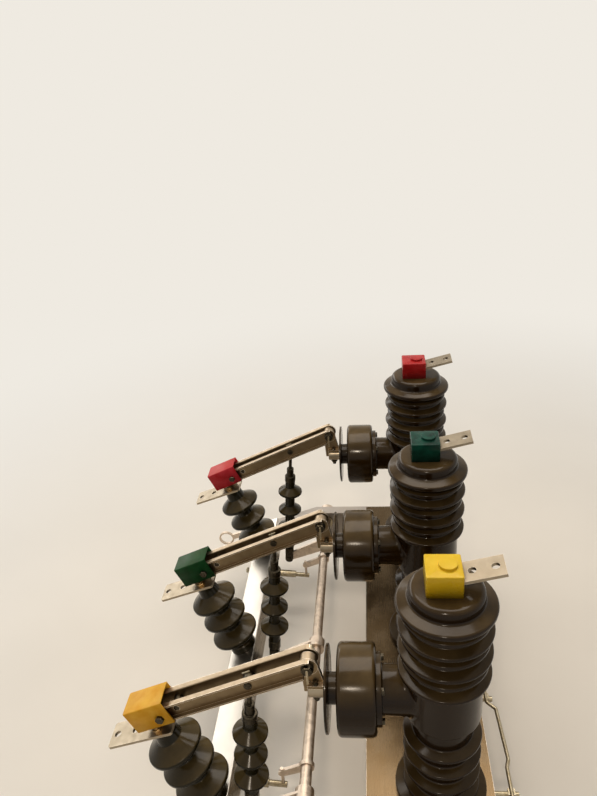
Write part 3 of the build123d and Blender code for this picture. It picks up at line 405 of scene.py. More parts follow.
def slab(outline, low, high, edge=0.6):
    """A flat outline in X and Z given a width along Y, with small chamfers. Its rows go from the middle
    of one face, over the outline shrunk by the chamfer, along the side, and to the other face's middle."""
    middle = outline.mean(0)
    spread = outline - middle
    inset = 1 - edge / np.linalg.norm(spread, axis=1, keepdims=True)
    rows = [(0, low), (inset, low), (1, low + edge), (1, high - edge), (inset, high), (0, high)]
    return np.stack([np.insert(middle + share * spread, 1, y, axis=1) for share, y in rows]) * MM


print("a rounded corner has", ARC_STEPS, "points and a turned piece", SEGMENTS, "sides")

# %% From grids to one object
SHARP_DEG = 32


def in_scene(name, data):
    """A new object in the scene, made from a mesh, a lamp or a camera."""
    item = bpy.data.objects.new(name, data)
    scene.collection.objects.link(item)
    return item


def skin(name, grids, material, body, replaced=()):
    """One object from grids of points. A bare grid closes along its columns, as a turned piece does.
    Any other comes as (points, whether rows close, whether columns close)."""
    points, faces, count = [], [], 0
    for grid in grids:
        grid, closed_rows, closed_columns = grid if isinstance(grid, tuple) else (grid, False, True)
        number = np.arange(grid.shape[0] * grid.shape[1]).reshape(grid.shape[:2]) + count
        number = np.vstack([number, number[:1]]) if closed_rows else number
        number = np.hstack([number, number[:, :1]]) if closed_columns else number
        quads = np.stack([number[:-1, :-1], number[:-1, 1:], number[1:, 1:], number[1:, :-1]], -1)
        points.append(grid.reshape(-1, 3))
        faces.append(quads.reshape(-1, 4))
        count += grid.shape[0] * grid.shape[1]
    points = np.concatenate(points)
    if not np.isfinite(points).all():
        raise ValueError("a point of " + name + " is not a number")
    mesh = bpy.data.meshes.new(name)
    mesh.from_pydata(points.tolist(), [], np.concatenate(faces).tolist())
    work = bmesh.new()
    work.from_mesh(mesh)
    bmesh.ops.remove_doubles(work, verts=work.verts, dist=1e-6)
    bmesh.ops.recalc_face_normals(work, faces=work.faces)
    work.to_mesh(mesh)
    work.free()
    mesh.shade_smooth()
    mesh.set_sharp_from_angle(angle=math.radians(SHARP_DEG))
    mesh.materials.append(material)
    piece = in_scene(name, mesh)
    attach(piece, body)
    if replaced:
        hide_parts(*replaced)
    print(name, "has", len(mesh.polygons), "faces")
    return piece


print("edges over", SHARP_DEG, "degrees stay sharp")

# %% [markdown]
# ## Poles
#
# A pole is one casting: a round foot, four narrow lower sheds, a waist, six upper sheds that are
# wide and narrow by turns, and a thick top shed under a dome. It is a profile turned about its
# axis. The sheds repeat, so one function gives the corners of a shed, and loops place them.

# %% The pole's profile
FOOT_R, FOOT_T, CORE_R, LIP, RISE, DROP, FLAT = 74, 12, 47, 3, 5, 2, 0.3
LOWER_R, LOWER_FIRST, LOWER_STEP, LOWER_COUNT = 61, 27, 38, 4
WAIST_R, WAIST_LOW, WAIST_HIGH, WAIST_CONE, WAIST_ROUND = 58, 190, 275, 10, 5
WIDE_R, NARROW_R, UPPER_STEP, UPPER_COUNT, UPPER_DEPTH = 69, 64, 21, 6, 10
TOP_R, TOP_LIP, DOME_R, DOME_ROUND, DOME_HEIGHT, DOME_ROOT = 72, 4.5, 54, 9, 29, 4
UPPER_START, ROOT_ROUND, EDGE_ROUND = 4, 3, 2


def shed(core, rim, level, lip, rise, root=ROOT_ROUND):
    """Corners of one rain shed from below to above: a nearly level underside, a rounded rim, a sloped top."""
    return [(core, level - lip - DROP, root), (rim, level - lip, lip - FLAT),
            (rim, level + lip, lip - FLAT), (core, level + lip + rise, root)]


def pole_corners():
    """Corners of half the pole, from the middle of its foot up to the middle of its dome. The first upper
    shed leaves out its lowest corner, because it grows straight from the waist."""
    corners = [(0, 0), (FOOT_R, 0), (FOOT_R, FOOT_T, EDGE_ROUND), (CORE_R, FOOT_T + RISE, ROOT_ROUND)]
    for number in range(LOWER_COUNT):
        corners += shed(CORE_R, LOWER_R, LOWER_FIRST + number * LOWER_STEP, LIP, RISE)
    corners += [(CORE_R, WAIST_LOW - WAIST_CONE, ROOT_ROUND), (WAIST_R, WAIST_LOW, WAIST_ROUND),
                (WAIST_R, WAIST_HIGH, EDGE_ROUND)]
    top_level = WAIST_HIGH + UPPER_START + UPPER_COUNT * UPPER_STEP
    for number in range(UPPER_COUNT, 0, -1):
        rim = NARROW_R if number % 2 else WIDE_R
        level = top_level - number * UPPER_STEP
        corners += shed(NARROW_R - UPPER_DEPTH, rim, level, LIP, RISE)[number == UPPER_COUNT:]
    corners += shed(NARROW_R - UPPER_DEPTH, TOP_R, top_level, TOP_LIP, RISE)[:3]
    dome_top = top_level + DOME_HEIGHT
    dome_foot = top_level + TOP_LIP + RISE
    return corners + [(DOME_R, dome_foot, DOME_ROOT), (DOME_R, dome_top, DOME_ROUND), (0, dome_top)]


pole_profile = rounded(pole_corners())
print("the pole is", pole_profile[:, 1].max(), "mm high")

# %% [markdown]
# ## The outlet branch
#
# Halfway up, a round branch leaves the waist towards the drum. Where two round bodies meet in a
# casting there is a soft fillet. At each angle a curve joins a ring on the branch to a ring on
# the waist, bending round the corner between them.

# %% Branch and fillet
BRANCH_FROM, BRANCH_R, BRANCH_FLANGE_R, BRANCH_FLANGE_T = 20, 38, 55, 8
FILLET, FILLET_STEPS, INSIDE_SHARE = 7, 9, np.array([0.8, 0.9, 0.9])
box_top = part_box("pole_b")[0].z
drum_low, drum_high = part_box("transformer_b")
outlet_z = (drum_low.z + drum_high.z) / 2
branch_end = -drum_high.x / MM


def branch_fillet():
    """Rows run from branch to waist: (1-s)^2 branch + 2s(1-s) corner + s^2 waist, then back inside. A point
    on the waist lies at x = -sqrt(w(z)^2 - y^2), where w is the pole's radius at that height."""
    angle = np.linspace(0, 2 * math.pi, SEGMENTS, endpoint=False)
    level = (outlet_z - box_top) / MM
    side = slice(len(pole_profile) // 8, len(pole_profile) // 2)

    def on_waist(radius):
        y, z = radius * np.cos(angle), radius * np.sin(angle) + level
        reach = np.interp(z, pole_profile[side, 1], pole_profile[side, 0])
        return np.stack([-np.sqrt(np.maximum(reach ** 2 - y ** 2, 1)), y, z], -1)

    corner, waist = on_waist(BRANCH_R), on_waist(BRANCH_R + FILLET)
    outer = corner - np.array([FILLET, 0, 0])
    s = np.linspace(0, 1, FILLET_STEPS)[:, None, None]
    curve = (1 - s) ** 2 * outer + 2 * s * (1 - s) * corner + s ** 2 * waist
    centre = np.array([0, 0, level])
    inside = centre + (corner - centre) * INSIDE_SHARE
    return np.concatenate([curve, inside[None]]) * MM


flange_from = branch_end - BRANCH_FLANGE_T
branch_corners = [(0, BRANCH_FROM), (BRANCH_R, BRANCH_FROM), (BRANCH_R, flange_from, 2),
                  (BRANCH_FLANGE_R, flange_from, 1.5), (BRANCH_FLANGE_R, branch_end), (0, branch_end)]
for phase, y in PHASES.items():
    body = stood(turned(pole_profile), (0, y, box_top))
    branch = stood(turned(branch_corners), (0, y, outlet_z), (-1, 0, 0))
    fillet = (branch_fillet() + np.array([0, y, box_top]), True, True)
    skin("pole_skin_" + phase, [body, branch, fillet], POLE_RESIN, "root", ["pole_" + phase])

# %% [markdown]
# ## Transformer drums and outlets
#
# The ring transformer is a short cast drum with well rounded edges. It sits on the outlet's
# sleeve, which ends in a thin disc of the same resin. Past the disc comes the bare end of the
# conductor, round copper with a flat on top for the hinge. The flat is the round bar with every
# height cut off at the same level.

# %% Drums, sleeves, discs and conductors
DRUM_ROUND, SLEEVE_R, SLEEVE_GAP, DISC_R, DISC_T, DISC_GAP = 7, 24, 0.3, 66, 4, 14
CONDUCTOR_R, CONDUCTOR_FLAT, FLAT_FROM, FLAT_EDGE = 14, 11, 1, 0.05
drum_radius = (drum_high.z - drum_low.z) / 2 / MM
drum_width = (drum_high.x - drum_low.x) / MM
disc_from = drum_width + DISC_GAP
disc_to = disc_from + DISC_T


def drum():
    """Closed section of the drum, turned about the outlet's axis."""
    bore = SLEEVE_R + SLEEVE_GAP
    return turned([(bore, 0), (drum_radius, 0, DRUM_ROUND), (drum_radius, drum_width, DRUM_ROUND),
                   (bore, drum_width)])


def sleeve():
    """Sleeve and disc, cast in one, turned about the outlet's axis."""
    return turned([(0, 0), (SLEEVE_R, 0), (SLEEVE_R, disc_from, 1), (DISC_R, disc_from, 1.2),
                   (DISC_R, disc_to, 1.2), (0, disc_to)])


def conductor():
    """Round bar along the axis past the disc, with two rings close together where its flat begins."""
    length = (drum_high.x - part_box("outlet_b")[0].x) / MM
    flat = disc_to + FLAT_FROM
    return turned([(0, disc_to), (CONDUCTOR_R, disc_to), (CONDUCTOR_R, flat - FLAT_EDGE),
                   (CONDUCTOR_R, flat + FLAT_EDGE), (CONDUCTOR_R, length, 2), (0, length)])


for phase, y in PHASES.items():
    origin = (drum_high.x, y, outlet_z)
    skin("drum_skin_" + phase, [(stood(drum(), origin, (-1, 0, 0)), True, True)], DRUM_RESIN,
         "root", ["transformer_" + phase])
    skin("sleeve_skin_" + phase, [stood(sleeve(), origin, (-1, 0, 0))], POLE_RESIN, "root")
    bar = stood(conductor(), origin, (-1, 0, 0))
    past = bar[..., 0] < drum_high.x - (disc_to + FLAT_FROM) * MM
    bar[..., 2] = np.where(past, np.minimum(bar[..., 2], outlet_z + CONDUCTOR_FLAT * MM), bar[..., 2])
    skin("conductor_skin_" + phase, [bar], TIN, "root", ["outlet_" + phase])

# %% [markdown]
# ## Leaning posts
#
# Three post insulators hold the fixed contacts. Each has three wide sheds with a long slope on
# top, so that rain runs off, and a nearly flat underside. They are turned profiles too, tilted
# outwards with the arms. Their tops lie under the plates, which gives their place.

# %% Posts
LEAN, POST_LENGTH, POST_HEAD_R, POST_HEAD_T, PLATE_IN = 20, 187, 20, 12, 26
POST_CORE_R, POST_CORE_FROM, POST_BASE_R, POST_BASE_T = 22, 20, 28, 14
POST_SHEDS, POST_LIP, POST_RISE = ((42, 50), (91.5, 47), (141, 48)), 4, 17
lean = math.radians(LEAN)
lean_axis = Vector((-math.sin(lean), 0, math.cos(lean)))
plate_axis = Vector((math.cos(lean), 0, math.sin(lean)))
contact_high, post_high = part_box("fixed_contact_b")[1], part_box("post_insulator_b")[1]
post_top = Vector((contact_high.x - PLATE_IN * MM * plate_axis.x, 0,
                   post_high.z - POST_HEAD_R * MM * plate_axis.z))
post_foot = post_top - POST_LENGTH * MM * lean_axis


def post_corners():
    """Corners of half a post, from its foot up to the seat of the plate."""
    corners = [(0, 0), (POST_BASE_R, 0), (POST_BASE_R, POST_BASE_T, EDGE_ROUND),
               (POST_CORE_R, POST_CORE_FROM, ROOT_ROUND)]
    for level, rim in POST_SHEDS:
        corners += shed(POST_CORE_R, rim, level, POST_LIP, POST_RISE)
    return corners + [(POST_HEAD_R, POST_LENGTH - POST_HEAD_T, EDGE_ROUND), (POST_HEAD_R, POST_LENGTH),
                      (0, POST_LENGTH)]


post_grid = turned(post_corners())
for phase, y in PHASES.items():
    placed = tilted(post_grid, -LEAN, post_foot + Vector((0, y, 0)))
    skin("post_skin_" + phase, [placed], INSULATOR_RESIN, "root",
         ["post_insulator_" + phase])

# %% [markdown]
# ## Pull rods
#
# Each blade is pulled by an insulated rod: a resin body with three sheds, cast between two steel
# ferrules. A fork with a cross pin takes the crank below. Above, a neck carries a stud with an
# eye round the blade's pin, and a short split pin lies on top of the eye. The rod's line runs from
# pin to pin, and both pins are known from the joints. Two stop rods through the channel are
# turned in the same way.

# %% Pull rods
pivots = {joint["name"]: Vector(joint["pos_m"]) for joint in frame["joints"]}
hinge, shaft, mid_pin = pivots["blade_turn_b"], pivots["shaft_turn"], pivots["rod_turn_b"]
crank_pin = mid_pin + shaft - hinge
rod_line = mid_pin - crank_pin
ROD_LENGTH = rod_line.length / MM
ROD_TILT = math.degrees(math.atan2(rod_line.x, rod_line.z))
ROD_CORE_R, ROD_FROM, ROD_TO, ROD_RISE = 12, 58, 242, 12
ROD_SHEDS = ((98, 30), (153, 28.5), (208, 29.5))
FERRULE_R, FERRULE_FROM, FERRULE_TO, HEAD_FROM, STUD_IN = 13, 38, 60, 240, 1
NECK_LOW, NECK_HIGH, NECK_R, STUD_R, EYE_R, EYE_HALF = 256, 277, 8.5, 4, 10, 8.7
EAR_HALF, EAR_TOP, EAR_ROUND, BLOCK_LOW, FORK_GAP, FORK_EAR = 10, 40, 9.9, 34, 12, 5
FORK_PIN_R, FORK_PIN_HALF, BLADE_ANGLE = 5, 14, 24
SPLIT_R, SPLIT_HALF, SPLIT_Y, SPLIT_UP = 1.8, 7, 5.7, 10.2
ROD_SEGMENTS, HEAD_SEGMENTS, PIN_SEGMENTS = 72, 48, 40


def rod_grids():
    """The resin body, and the fittings: two ferrules, the neck and stud, the eye, the fork and its pin."""
    corners = [(0, ROD_FROM), (ROD_CORE_R, ROD_FROM)]
    for level, rim in ROD_SHEDS:
        corners += shed(ROD_CORE_R, rim, level, LIP, ROD_RISE)
    corners += [(ROD_CORE_R, ROD_TO), (0, ROD_TO)]
    ferrule = [(0, FERRULE_FROM), (FERRULE_R, FERRULE_FROM, 1), (FERRULE_R, FERRULE_TO, 1.5), (0, FERRULE_TO)]
    stud_end = ROD_LENGTH - EYE_R + STUD_IN
    head = [(0, HEAD_FROM), (FERRULE_R, HEAD_FROM, 1), (FERRULE_R, NECK_LOW, 2), (NECK_R, NECK_LOW, 0.8),
            (NECK_R, NECK_HIGH, 1.5), (STUD_R, NECK_HIGH, 0.5), (STUD_R, stud_end), (0, stud_end)]
    fittings = [turned(ferrule, ROD_SEGMENTS), turned(head, HEAD_SEGMENTS)]
    for round_piece, level in ((plug(FORK_PIN_R, -FORK_PIN_HALF, FORK_PIN_HALF, 1), 0),
                               (plug(EYE_R, -EYE_HALF, EYE_HALF, 0.8), ROD_LENGTH)):
        fittings.append(stood(turned(round_piece, PIN_SEGMENTS), (0, 0, level * MM), (0, 1, 0)))
    ear = rounded([(-EAR_HALF, EAR_TOP), (EAR_HALF, EAR_TOP), (EAR_HALF, -EAR_HALF, EAR_ROUND),
                   (-EAR_HALF, -EAR_HALF, EAR_ROUND)], 2 * ARC_STEPS)
    inner, outer = FORK_GAP / 2, FORK_GAP / 2 + FORK_EAR
    fittings += [slab(ear, -outer, -inner), slab(ear, inner, outer)]
    block = [(-EAR_HALF, BLOCK_LOW), (EAR_HALF, BLOCK_LOW), (EAR_HALF, EAR_TOP), (-EAR_HALF, EAR_TOP)]
    return turned(corners, ROD_SEGMENTS), fittings + [slab(rounded(block), -outer, outer)]


def split_pin():
    """A short round pin on top of the eye, parallel to the blade: SPLIT_UP above the eye's middle."""
    pin = turned(plug(SPLIT_R, -SPLIT_HALF, SPLIT_HALF), PIN_SEGMENTS // 2, ARC_STEPS // 2)
    slope = math.radians(BLADE_ANGLE + ROD_TILT)
    place = (-SPLIT_UP * MM * math.sin(slope), SPLIT_Y * MM, (ROD_LENGTH + SPLIT_UP * math.cos(slope)) * MM)
    return stood(pin, place, (math.cos(slope), 0, math.sin(slope)))


rod_body, rod_fittings = rod_grids()
for phase, y in PHASES.items():
    foot, rod = crank_pin + Vector((0, y, 0)), "rod_" + phase
    skin("rod_body_" + phase, [tilted(rod_body, ROD_TILT, foot)], INSULATOR_RESIN, rod,
         ["pull_rod_" + phase])
    fittings = [tilted(grid, ROD_TILT, foot) for grid in rod_fittings]
    skin("rod_fittings_" + phase, fittings, BLACK_STEEL, rod)
    skin("split_pin_" + phase, [tilted(split_pin(), ROD_TILT, foot)], ZINC, rod)

# %% Stop rods under the shaft
STOP_SLOPE, STOP_Y, STOP_ORIGIN = math.radians(6), 0.282, Vector((-407.74, 0, 139.97)) * MM
STOP_R, STOP_END_R, STOP_FROM, STOP_SEAT, STOP_TO = 4, 5.5, -24, -18, 138
STOP_HEAD_R, STOP_HEAD_TOP_R = 7, 6.4
COLLAR_R, COLLAR_HALF, TUBE_R, TUBE_FROM, TUBE_TO = 7.5, 6, 8.5, 40, 104
stop_corners = [(0, STOP_SEAT), (STOP_R, STOP_SEAT), (STOP_R, -COLLAR_HALF), (COLLAR_R, -COLLAR_HALF, 0.5),
                (COLLAR_R, COLLAR_HALF, 0.5), (STOP_R, COLLAR_HALF), (STOP_R, TUBE_FROM),
                (TUBE_R, TUBE_FROM, 1), (TUBE_R, TUBE_TO, 1), (STOP_END_R, TUBE_TO, 0.5),
                (STOP_END_R, STOP_TO, 1), (0, STOP_TO)]
stop_line = Vector((math.cos(STOP_SLOPE), 0, -math.sin(STOP_SLOPE)))
stop_grids = (turned(stop_corners, HEAD_SEGMENTS, ARC_STEPS // 2),
              turned(six_sided(STOP_HEAD_R, STOP_SEAT, STOP_FROM, 1, STOP_HEAD_TOP_R / STOP_HEAD_R), 6))
stops = [stood(grid, STOP_ORIGIN + Vector((0, side * STOP_Y, 0)), stop_line)
         for side in (-1, 1) for grid in stop_grids]
skin("stop_rod_skin", stops, ZINC, "root", ["stop_rods"])

# %% [markdown]
# ## Soft covers
#
# A cover is a thin-walled box with soft shoulders. Its outline in plan is swept up the wall and
# over the shoulder along a quarter circle, and then shrinks to the middle of the roof. The tip
# covers are open below and towards the hinge, so their outline is a U. The top covers' outline
# is closed, with a notch where the terminal plate leaves.

# %% A shell with rounded shoulders
SHOULDER_STEPS = 6


def shell(outline, spine, low, high, shoulder):
    """Rows follow the plan outline: up the wall, over a quarter circle of the shoulder's radius, then in.
    At a shrink t a point lies at outline + t (spine - outline), and the roof is level past the shoulder."""
    reach = np.linalg.norm(spine - outline, axis=1, keepdims=True)
    levels = [(outline, low)]
    for turn in np.linspace(0, math.pi / 2, SHOULDER_STEPS):
        t = shoulder * (1 - math.cos(turn)) / reach
        levels.append((outline + t * (spine - outline), high - shoulder * (1 - math.sin(turn))))
    levels.append((spine, high))
    return np.stack([np.insert(flat, 2, level, axis=1) for flat, level in levels], axis=1) * MM


def walled(piece, thickness_mm):
    """Give an open shell its wall, grown inwards."""
    wall = piece.modifiers.new("wall", "SOLIDIFY")
    wall.thickness = thickness_mm * MM
    wall.offset = -1


# %% Tip covers on the blades
TIP_HALF, TIP_END, TIP_OPEN, TIP_LOW, TIP_HIGH = 21.9, -320.5, -247.5, -17.5, 28.5
TIP_ROUND, TIP_SHOULDER, COVER_WALL = 3, 2, 2.5


def tip_shell():
    """U outline round the tip, and a roof that shrinks to a line over the blade's middle."""
    outline = rounded([(TIP_OPEN, -TIP_HALF), (TIP_END, -TIP_HALF, TIP_ROUND),
                       (TIP_END, TIP_HALF, TIP_ROUND), (TIP_OPEN, TIP_HALF)])
    spine = np.column_stack([np.clip(outline[:, 0], TIP_END + TIP_HALF, TIP_OPEN), 0 * outline[:, 1]])
    return shell(outline, spine, TIP_LOW, TIP_HIGH, TIP_SHOULDER)


for phase, y in PHASES.items():
    placed = tilted(tip_shell(), -BLADE_ANGLE, hinge + Vector((0, y, 0)))
    cover = skin("tip_cover_skin_" + phase, [(placed, False, False)], COVERS[phase], "blade_" + phase,
                 ["tip_cover_" + phase])
    walled(cover, COVER_WALL)

# %% Top covers over the terminals
CAP_ROUND, CAP_SHOULDER, CAP_WALL, NOTCH_HALF, NOTCH_TOP = 2.5, 2, 3, 20.5, 685.3
BOSS_R, BOSS_T, BOSS_X = 13, 4.5, 1
cap_low, cap_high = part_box("top_cover_b")
boss_top = cap_high.z / MM
roof = boss_top - BOSS_T
boss_corners = [(0, roof - CAP_WALL), (BOSS_R, roof - CAP_WALL), (BOSS_R, boss_top, 0.8), (0, boss_top)]


def cap_shell():
    """Closed outline with a notch in its right wall, where the lower edge jumps up to let the plate out."""
    left, right, half = cap_low.x / MM, cap_high.x / MM, cap_high.y / MM
    outline = rounded([(right, -NOTCH_HALF), (right, -NOTCH_HALF), (right, -half, CAP_ROUND),
                       (left, -half, CAP_ROUND), (left, half, CAP_ROUND), (right, half, CAP_ROUND),
                       (right, NOTCH_HALF), (right, NOTCH_HALF)])
    low = np.full(len(outline), cap_low.z / MM)
    low[[0, -1]] = NOTCH_TOP
    middle = np.array([(left + right) / 2, 0.0])
    return shell(outline, middle + 0 * outline, low, roof, CAP_SHOULDER)


for phase, y in PHASES.items():
    shell_grid = (cap_shell() + np.array([0, y, 0]), True, False)
    boss = turned(boss_corners, HEAD_SEGMENTS) + np.array([BOSS_X * MM, y, 0])
    cover = skin("top_cover_skin_" + phase, [shell_grid], TOP_COVERS[phase], "root",
                 ["top_cover_" + phase])
    walled(cover, CAP_WALL)
    skin("top_cover_boss_" + phase, [boss], TOP_COVERS[phase], "root")

# %% [markdown]
# ## Bolts through the blades
#
# Three bolts tie the two bars of a blade: the hinge bolt with a hexagon head, washers and a
# bright nut on its far side, the dark pin that the pull rod's eye turns on, and a flush bolt with
# a spacer at the tips. Each is a profile turned about a line that runs across the blade. A
# hexagon is a profile turned in six steps. A bright strip locks the hinge bolt's head.

# %% Hinge bolts, rod pins and tip spacers
BAR_OUT, WASHER_OUT, HEAD_OUT, NUT_OUT, BOLT_END = 12, 16, 22, 25, 28
SHANK_R, SHANK_FROM, SHANK_TO, THREAD_R, WASHER_R = 6, -21, 22, 5, 10
HEXAGON_R, HEXAGON_CUT = 9.5, (0.95, 0.88)
MID_PIN_AT, MID_PIN_R, MID_PIN_OUT, MID_WASHER_R, MID_WASHER_OUT = 104, 5, 15, 6.5, 14
TIP_BOLT_AT, TIP_BOLT_R, TIP_BOLT_OUT, SPACER_R, SPACER_HALF = 236, 5, 12.4, 8, 9
LOCK_HALF, LOCK_LOW, LOCK_HIGH, LOCK_ROUND, LOCK_T, LOCK_EDGE = 1.7, -24, 5, 1.6, 1.2, 0.3
DARK_ROUNDS = ((0, SHANK_R, SHANK_FROM, SHANK_TO), (0, WASHER_R, -WASHER_OUT, -BAR_OUT),
               (0, WASHER_R, BAR_OUT, WASHER_OUT), (MID_PIN_AT, MID_PIN_R, -MID_PIN_OUT, MID_PIN_OUT),
               (MID_PIN_AT, MID_WASHER_R, -MID_WASHER_OUT, -BAR_OUT),
               (MID_PIN_AT, MID_WASHER_R, BAR_OUT, MID_WASHER_OUT),
               (TIP_BOLT_AT, SPACER_R, -SPACER_HALF, SPACER_HALF),
               (TIP_BOLT_AT, TIP_BOLT_R, -TIP_BOLT_OUT, TIP_BOLT_OUT))


def across(corners, y, at_mm=0, segments=PIN_SEGMENTS):
    """Corners of (r, Y), turned about the line across the blade that lies at_mm from the hinge."""
    slope = math.radians(BLADE_ANGLE)
    centre = hinge + Vector((0, y, 0)) - at_mm * MM * Vector((math.cos(slope), 0, math.sin(slope)))
    return stood(turned(corners, segments, ARC_STEPS // 2), centre, (0, 1, 0))


def lock_strip():
    """A flat strip with round ends on the head's outer face."""
    ends = [(-LOCK_HALF, LOCK_LOW), (LOCK_HALF, LOCK_LOW), (LOCK_HALF, LOCK_HIGH), (-LOCK_HALF, LOCK_HIGH)]
    outline = rounded([(*end, LOCK_ROUND) for end in ends], 5)
    return slab(outline, -HEAD_OUT - LOCK_T, -HEAD_OUT, LOCK_EDGE)


for phase, y in PHASES.items():
    dark = [across(plug(radius, low, high), y, at_mm) for at_mm, radius, low, high in DARK_ROUNDS]
    dark.append(across(six_sided(HEXAGON_R, -WASHER_OUT, -HEAD_OUT, *HEXAGON_CUT), y, segments=6))
    bright = [across(six_sided(HEXAGON_R, WASHER_OUT, NUT_OUT, *HEXAGON_CUT), y, segments=6),
              across(plug(THREAD_R, NUT_OUT, BOLT_END, 1), y),
              lock_strip() + np.array(hinge + Vector((0, y, 0)))]
    skin("blade_bolts_" + phase, dark, BLACK_STEEL, "blade_" + phase,
         ["blade_pins_" + phase])
    skin("hinge_nuts_" + phase, bright, ZINC, "blade_" + phase)

# %% [markdown]
# ## Sheet and bar pieces
#
# Folded sheet, flat bars and turned pins come as solids whose meshes are loose triangles. A small
# chain of geometry nodes welds them and shades them smooth, except where two faces meet at a
# real edge. Then each node gets its material, by its own name or by its name without the last word.

# %% Smooth shading with crisp edges
def crisp_shading():
    """Node group: weld, shade all faces smooth, then mark edges whose angle is above the limit as sharp."""
    group = bpy.data.node_groups.new("crisp_shading", "GeometryNodeTree")
    for way in ("INPUT", "OUTPUT"):
        group.interface.new_socket("Geometry", in_out=way, socket_type="NodeSocketGeometry")
    solid = group.nodes.new("NodeGroupInput").outputs[0]
    welded = add(group, "GeometryNodeMergeByDistance", {"Geometry": solid, "Distance": 1e-6}).outputs[0]
    smooth = add(group, "GeometryNodeSetShadeSmooth", {"Geometry": welded, "Shade Smooth": True}).outputs[0]
    angle = add(group, "GeometryNodeInputMeshEdgeAngle").outputs["Unsigned Angle"]
    edge = add(group, "FunctionNodeCompare", {"A": angle, "B": math.radians(SHARP_DEG)},
               operation="GREATER_THAN").outputs[0]
    crisp = add(group, "GeometryNodeSetShadeSmooth",
                {"Geometry": smooth, "Selection": edge, "Shade Smooth": False}, domain="EDGE").outputs[0]
    group.links.new(crisp, group.nodes.new("NodeGroupOutput").inputs[0])
    return group


CRISP = crisp_shading()
FINISHES = {"base_box": BOX_WALL, "box_top_plate": BOX_SHEET, "crossbar": STAINLESS, "arm": PAINT,
            "bearing": ZINC, "side": ZINC, "stop_rods": ZINC, "isolator_shaft": GALVANISED,
            "operating_lever": GALVANISED, "shaft_cranks": GALVANISED, "pole": POLE_RESIN,
            "transformer": DRUM_RESIN, "outlet": TIN, "hinge_bracket": BLADE_TIN, "top_terminal": TIN,
            "fixed_contact": TIN, "blade": BLADE_TIN, "blade_pins": BLACK_STEEL,
            "post_insulator": INSULATOR_RESIN, "pull_rod": INSULATOR_RESIN}
for phase in PHASES:
    FINISHES.update({"tip_cover_" + phase: COVERS[phase], "top_cover_" + phase: TOP_COVERS[phase]})
for name, node in nodes.items():
    family = name if name in FINISHES else name.rsplit("_", 1)[0]
    node.data.materials.clear()
    node.data.materials.append(FINISHES[family])
    node.modifiers.new("crisp", "NODES").node_group = CRISP
print("finished nodes:", len(nodes))

# %% [markdown]
# ## Bolts, nuts and washers
#
# All of this is metric. A head or nut measures 1.5 d + 1 across its flats and 0.64 d in height,
# and a washer is 2 d wide and 0.2 d thick, where d is the thread. Each group becomes one mesh.

# %% One bolt
def bolt(origin, axis, thread, out=0.0, washer=True):
    """Grids of a hexagon, a washer and the thread's end, standing at the origin along the axis."""
    corner = (1.5 * thread + 1) / math.sqrt(3)
    seat = 0.2 * thread if washer else 0.0
    top = seat + 0.64 * thread
    grids = [turned(six_sided(corner, seat, top, 0.12 * thread, 0.9), 6)]
    if washer:
        grids.append(turned([(0, 0), (thread, 0), (thread, seat, 0.3), (0, seat)], 32, 3))
    if out:
        end = [(0, top), (thread / 2, top), (thread / 2, top + out, 0.1 * thread), (0, top + out)]
        grids.append(turned(end, 24, ARC_STEPS // 2))
    return [stood(grid, origin, axis) for grid in grids]


def bolt_circle(radius_mm, centre, axis, thread, **parts):
    """Grids of four bolts on a circle about the centre, square to the axis."""
    angle = np.radians([45, 135, 225, 315])
    ring = np.stack([np.cos(angle), np.sin(angle), 0 * angle], -1) * radius_mm * MM
    return [grid for place in stood(ring, centre, axis) for grid in bolt(place, axis, thread, **parts)]


def joined(name, bolts, material, body="root"):
    """One object from many bolts."""
    skin(name, [grid for grids in bolts for grid in grids], material, body)


print("an M12 bolt is made of", len(bolt((0, 0, 0), (0, 0, 1), 12, 4)), "grids")

# %% Bolts that hold the poles, posts, arms and bearings
UP, SIDES = Vector((0, 0, 1)), (-1, 1)
FOOT_CIRCLE, BEARING_CIRCLE, CROSSBAR_T, ARM_BOLTS_X, ARM_BOLTS_DOWN = 62, 21, 3, (-105, -70, -35), 40
bearing_face, arm_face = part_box("bearing_near")[0].y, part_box("arm_near")[0].y
joined("pole_foot_bolts", [bolt_circle(FOOT_CIRCLE, (0, y, box_top + FOOT_T * MM), UP, 10)
                           for y in ROW], ZINC)
joined("post_nuts", [bolt(post_foot + Vector((0, y, 0)) - CROSSBAR_T * MM * lean_axis, -lean_axis, 12, 4)
                     for y in ROW], ZINC)
joined("arm_bolts", [bolt((x * MM, -side * arm_face, box_top - ARM_BOLTS_DOWN * MM), (0, side, 0), 10)
                     for side in SIDES for x in ARM_BOLTS_X], ZINC)
bearings = [((shaft.x, -side * bearing_face, shaft.z), (0, side, 0)) for side in SIDES]
joined("bearing_bolts", [bolt_circle(BEARING_CIRCLE, *bearing, 6) for bearing in bearings], ZINC)

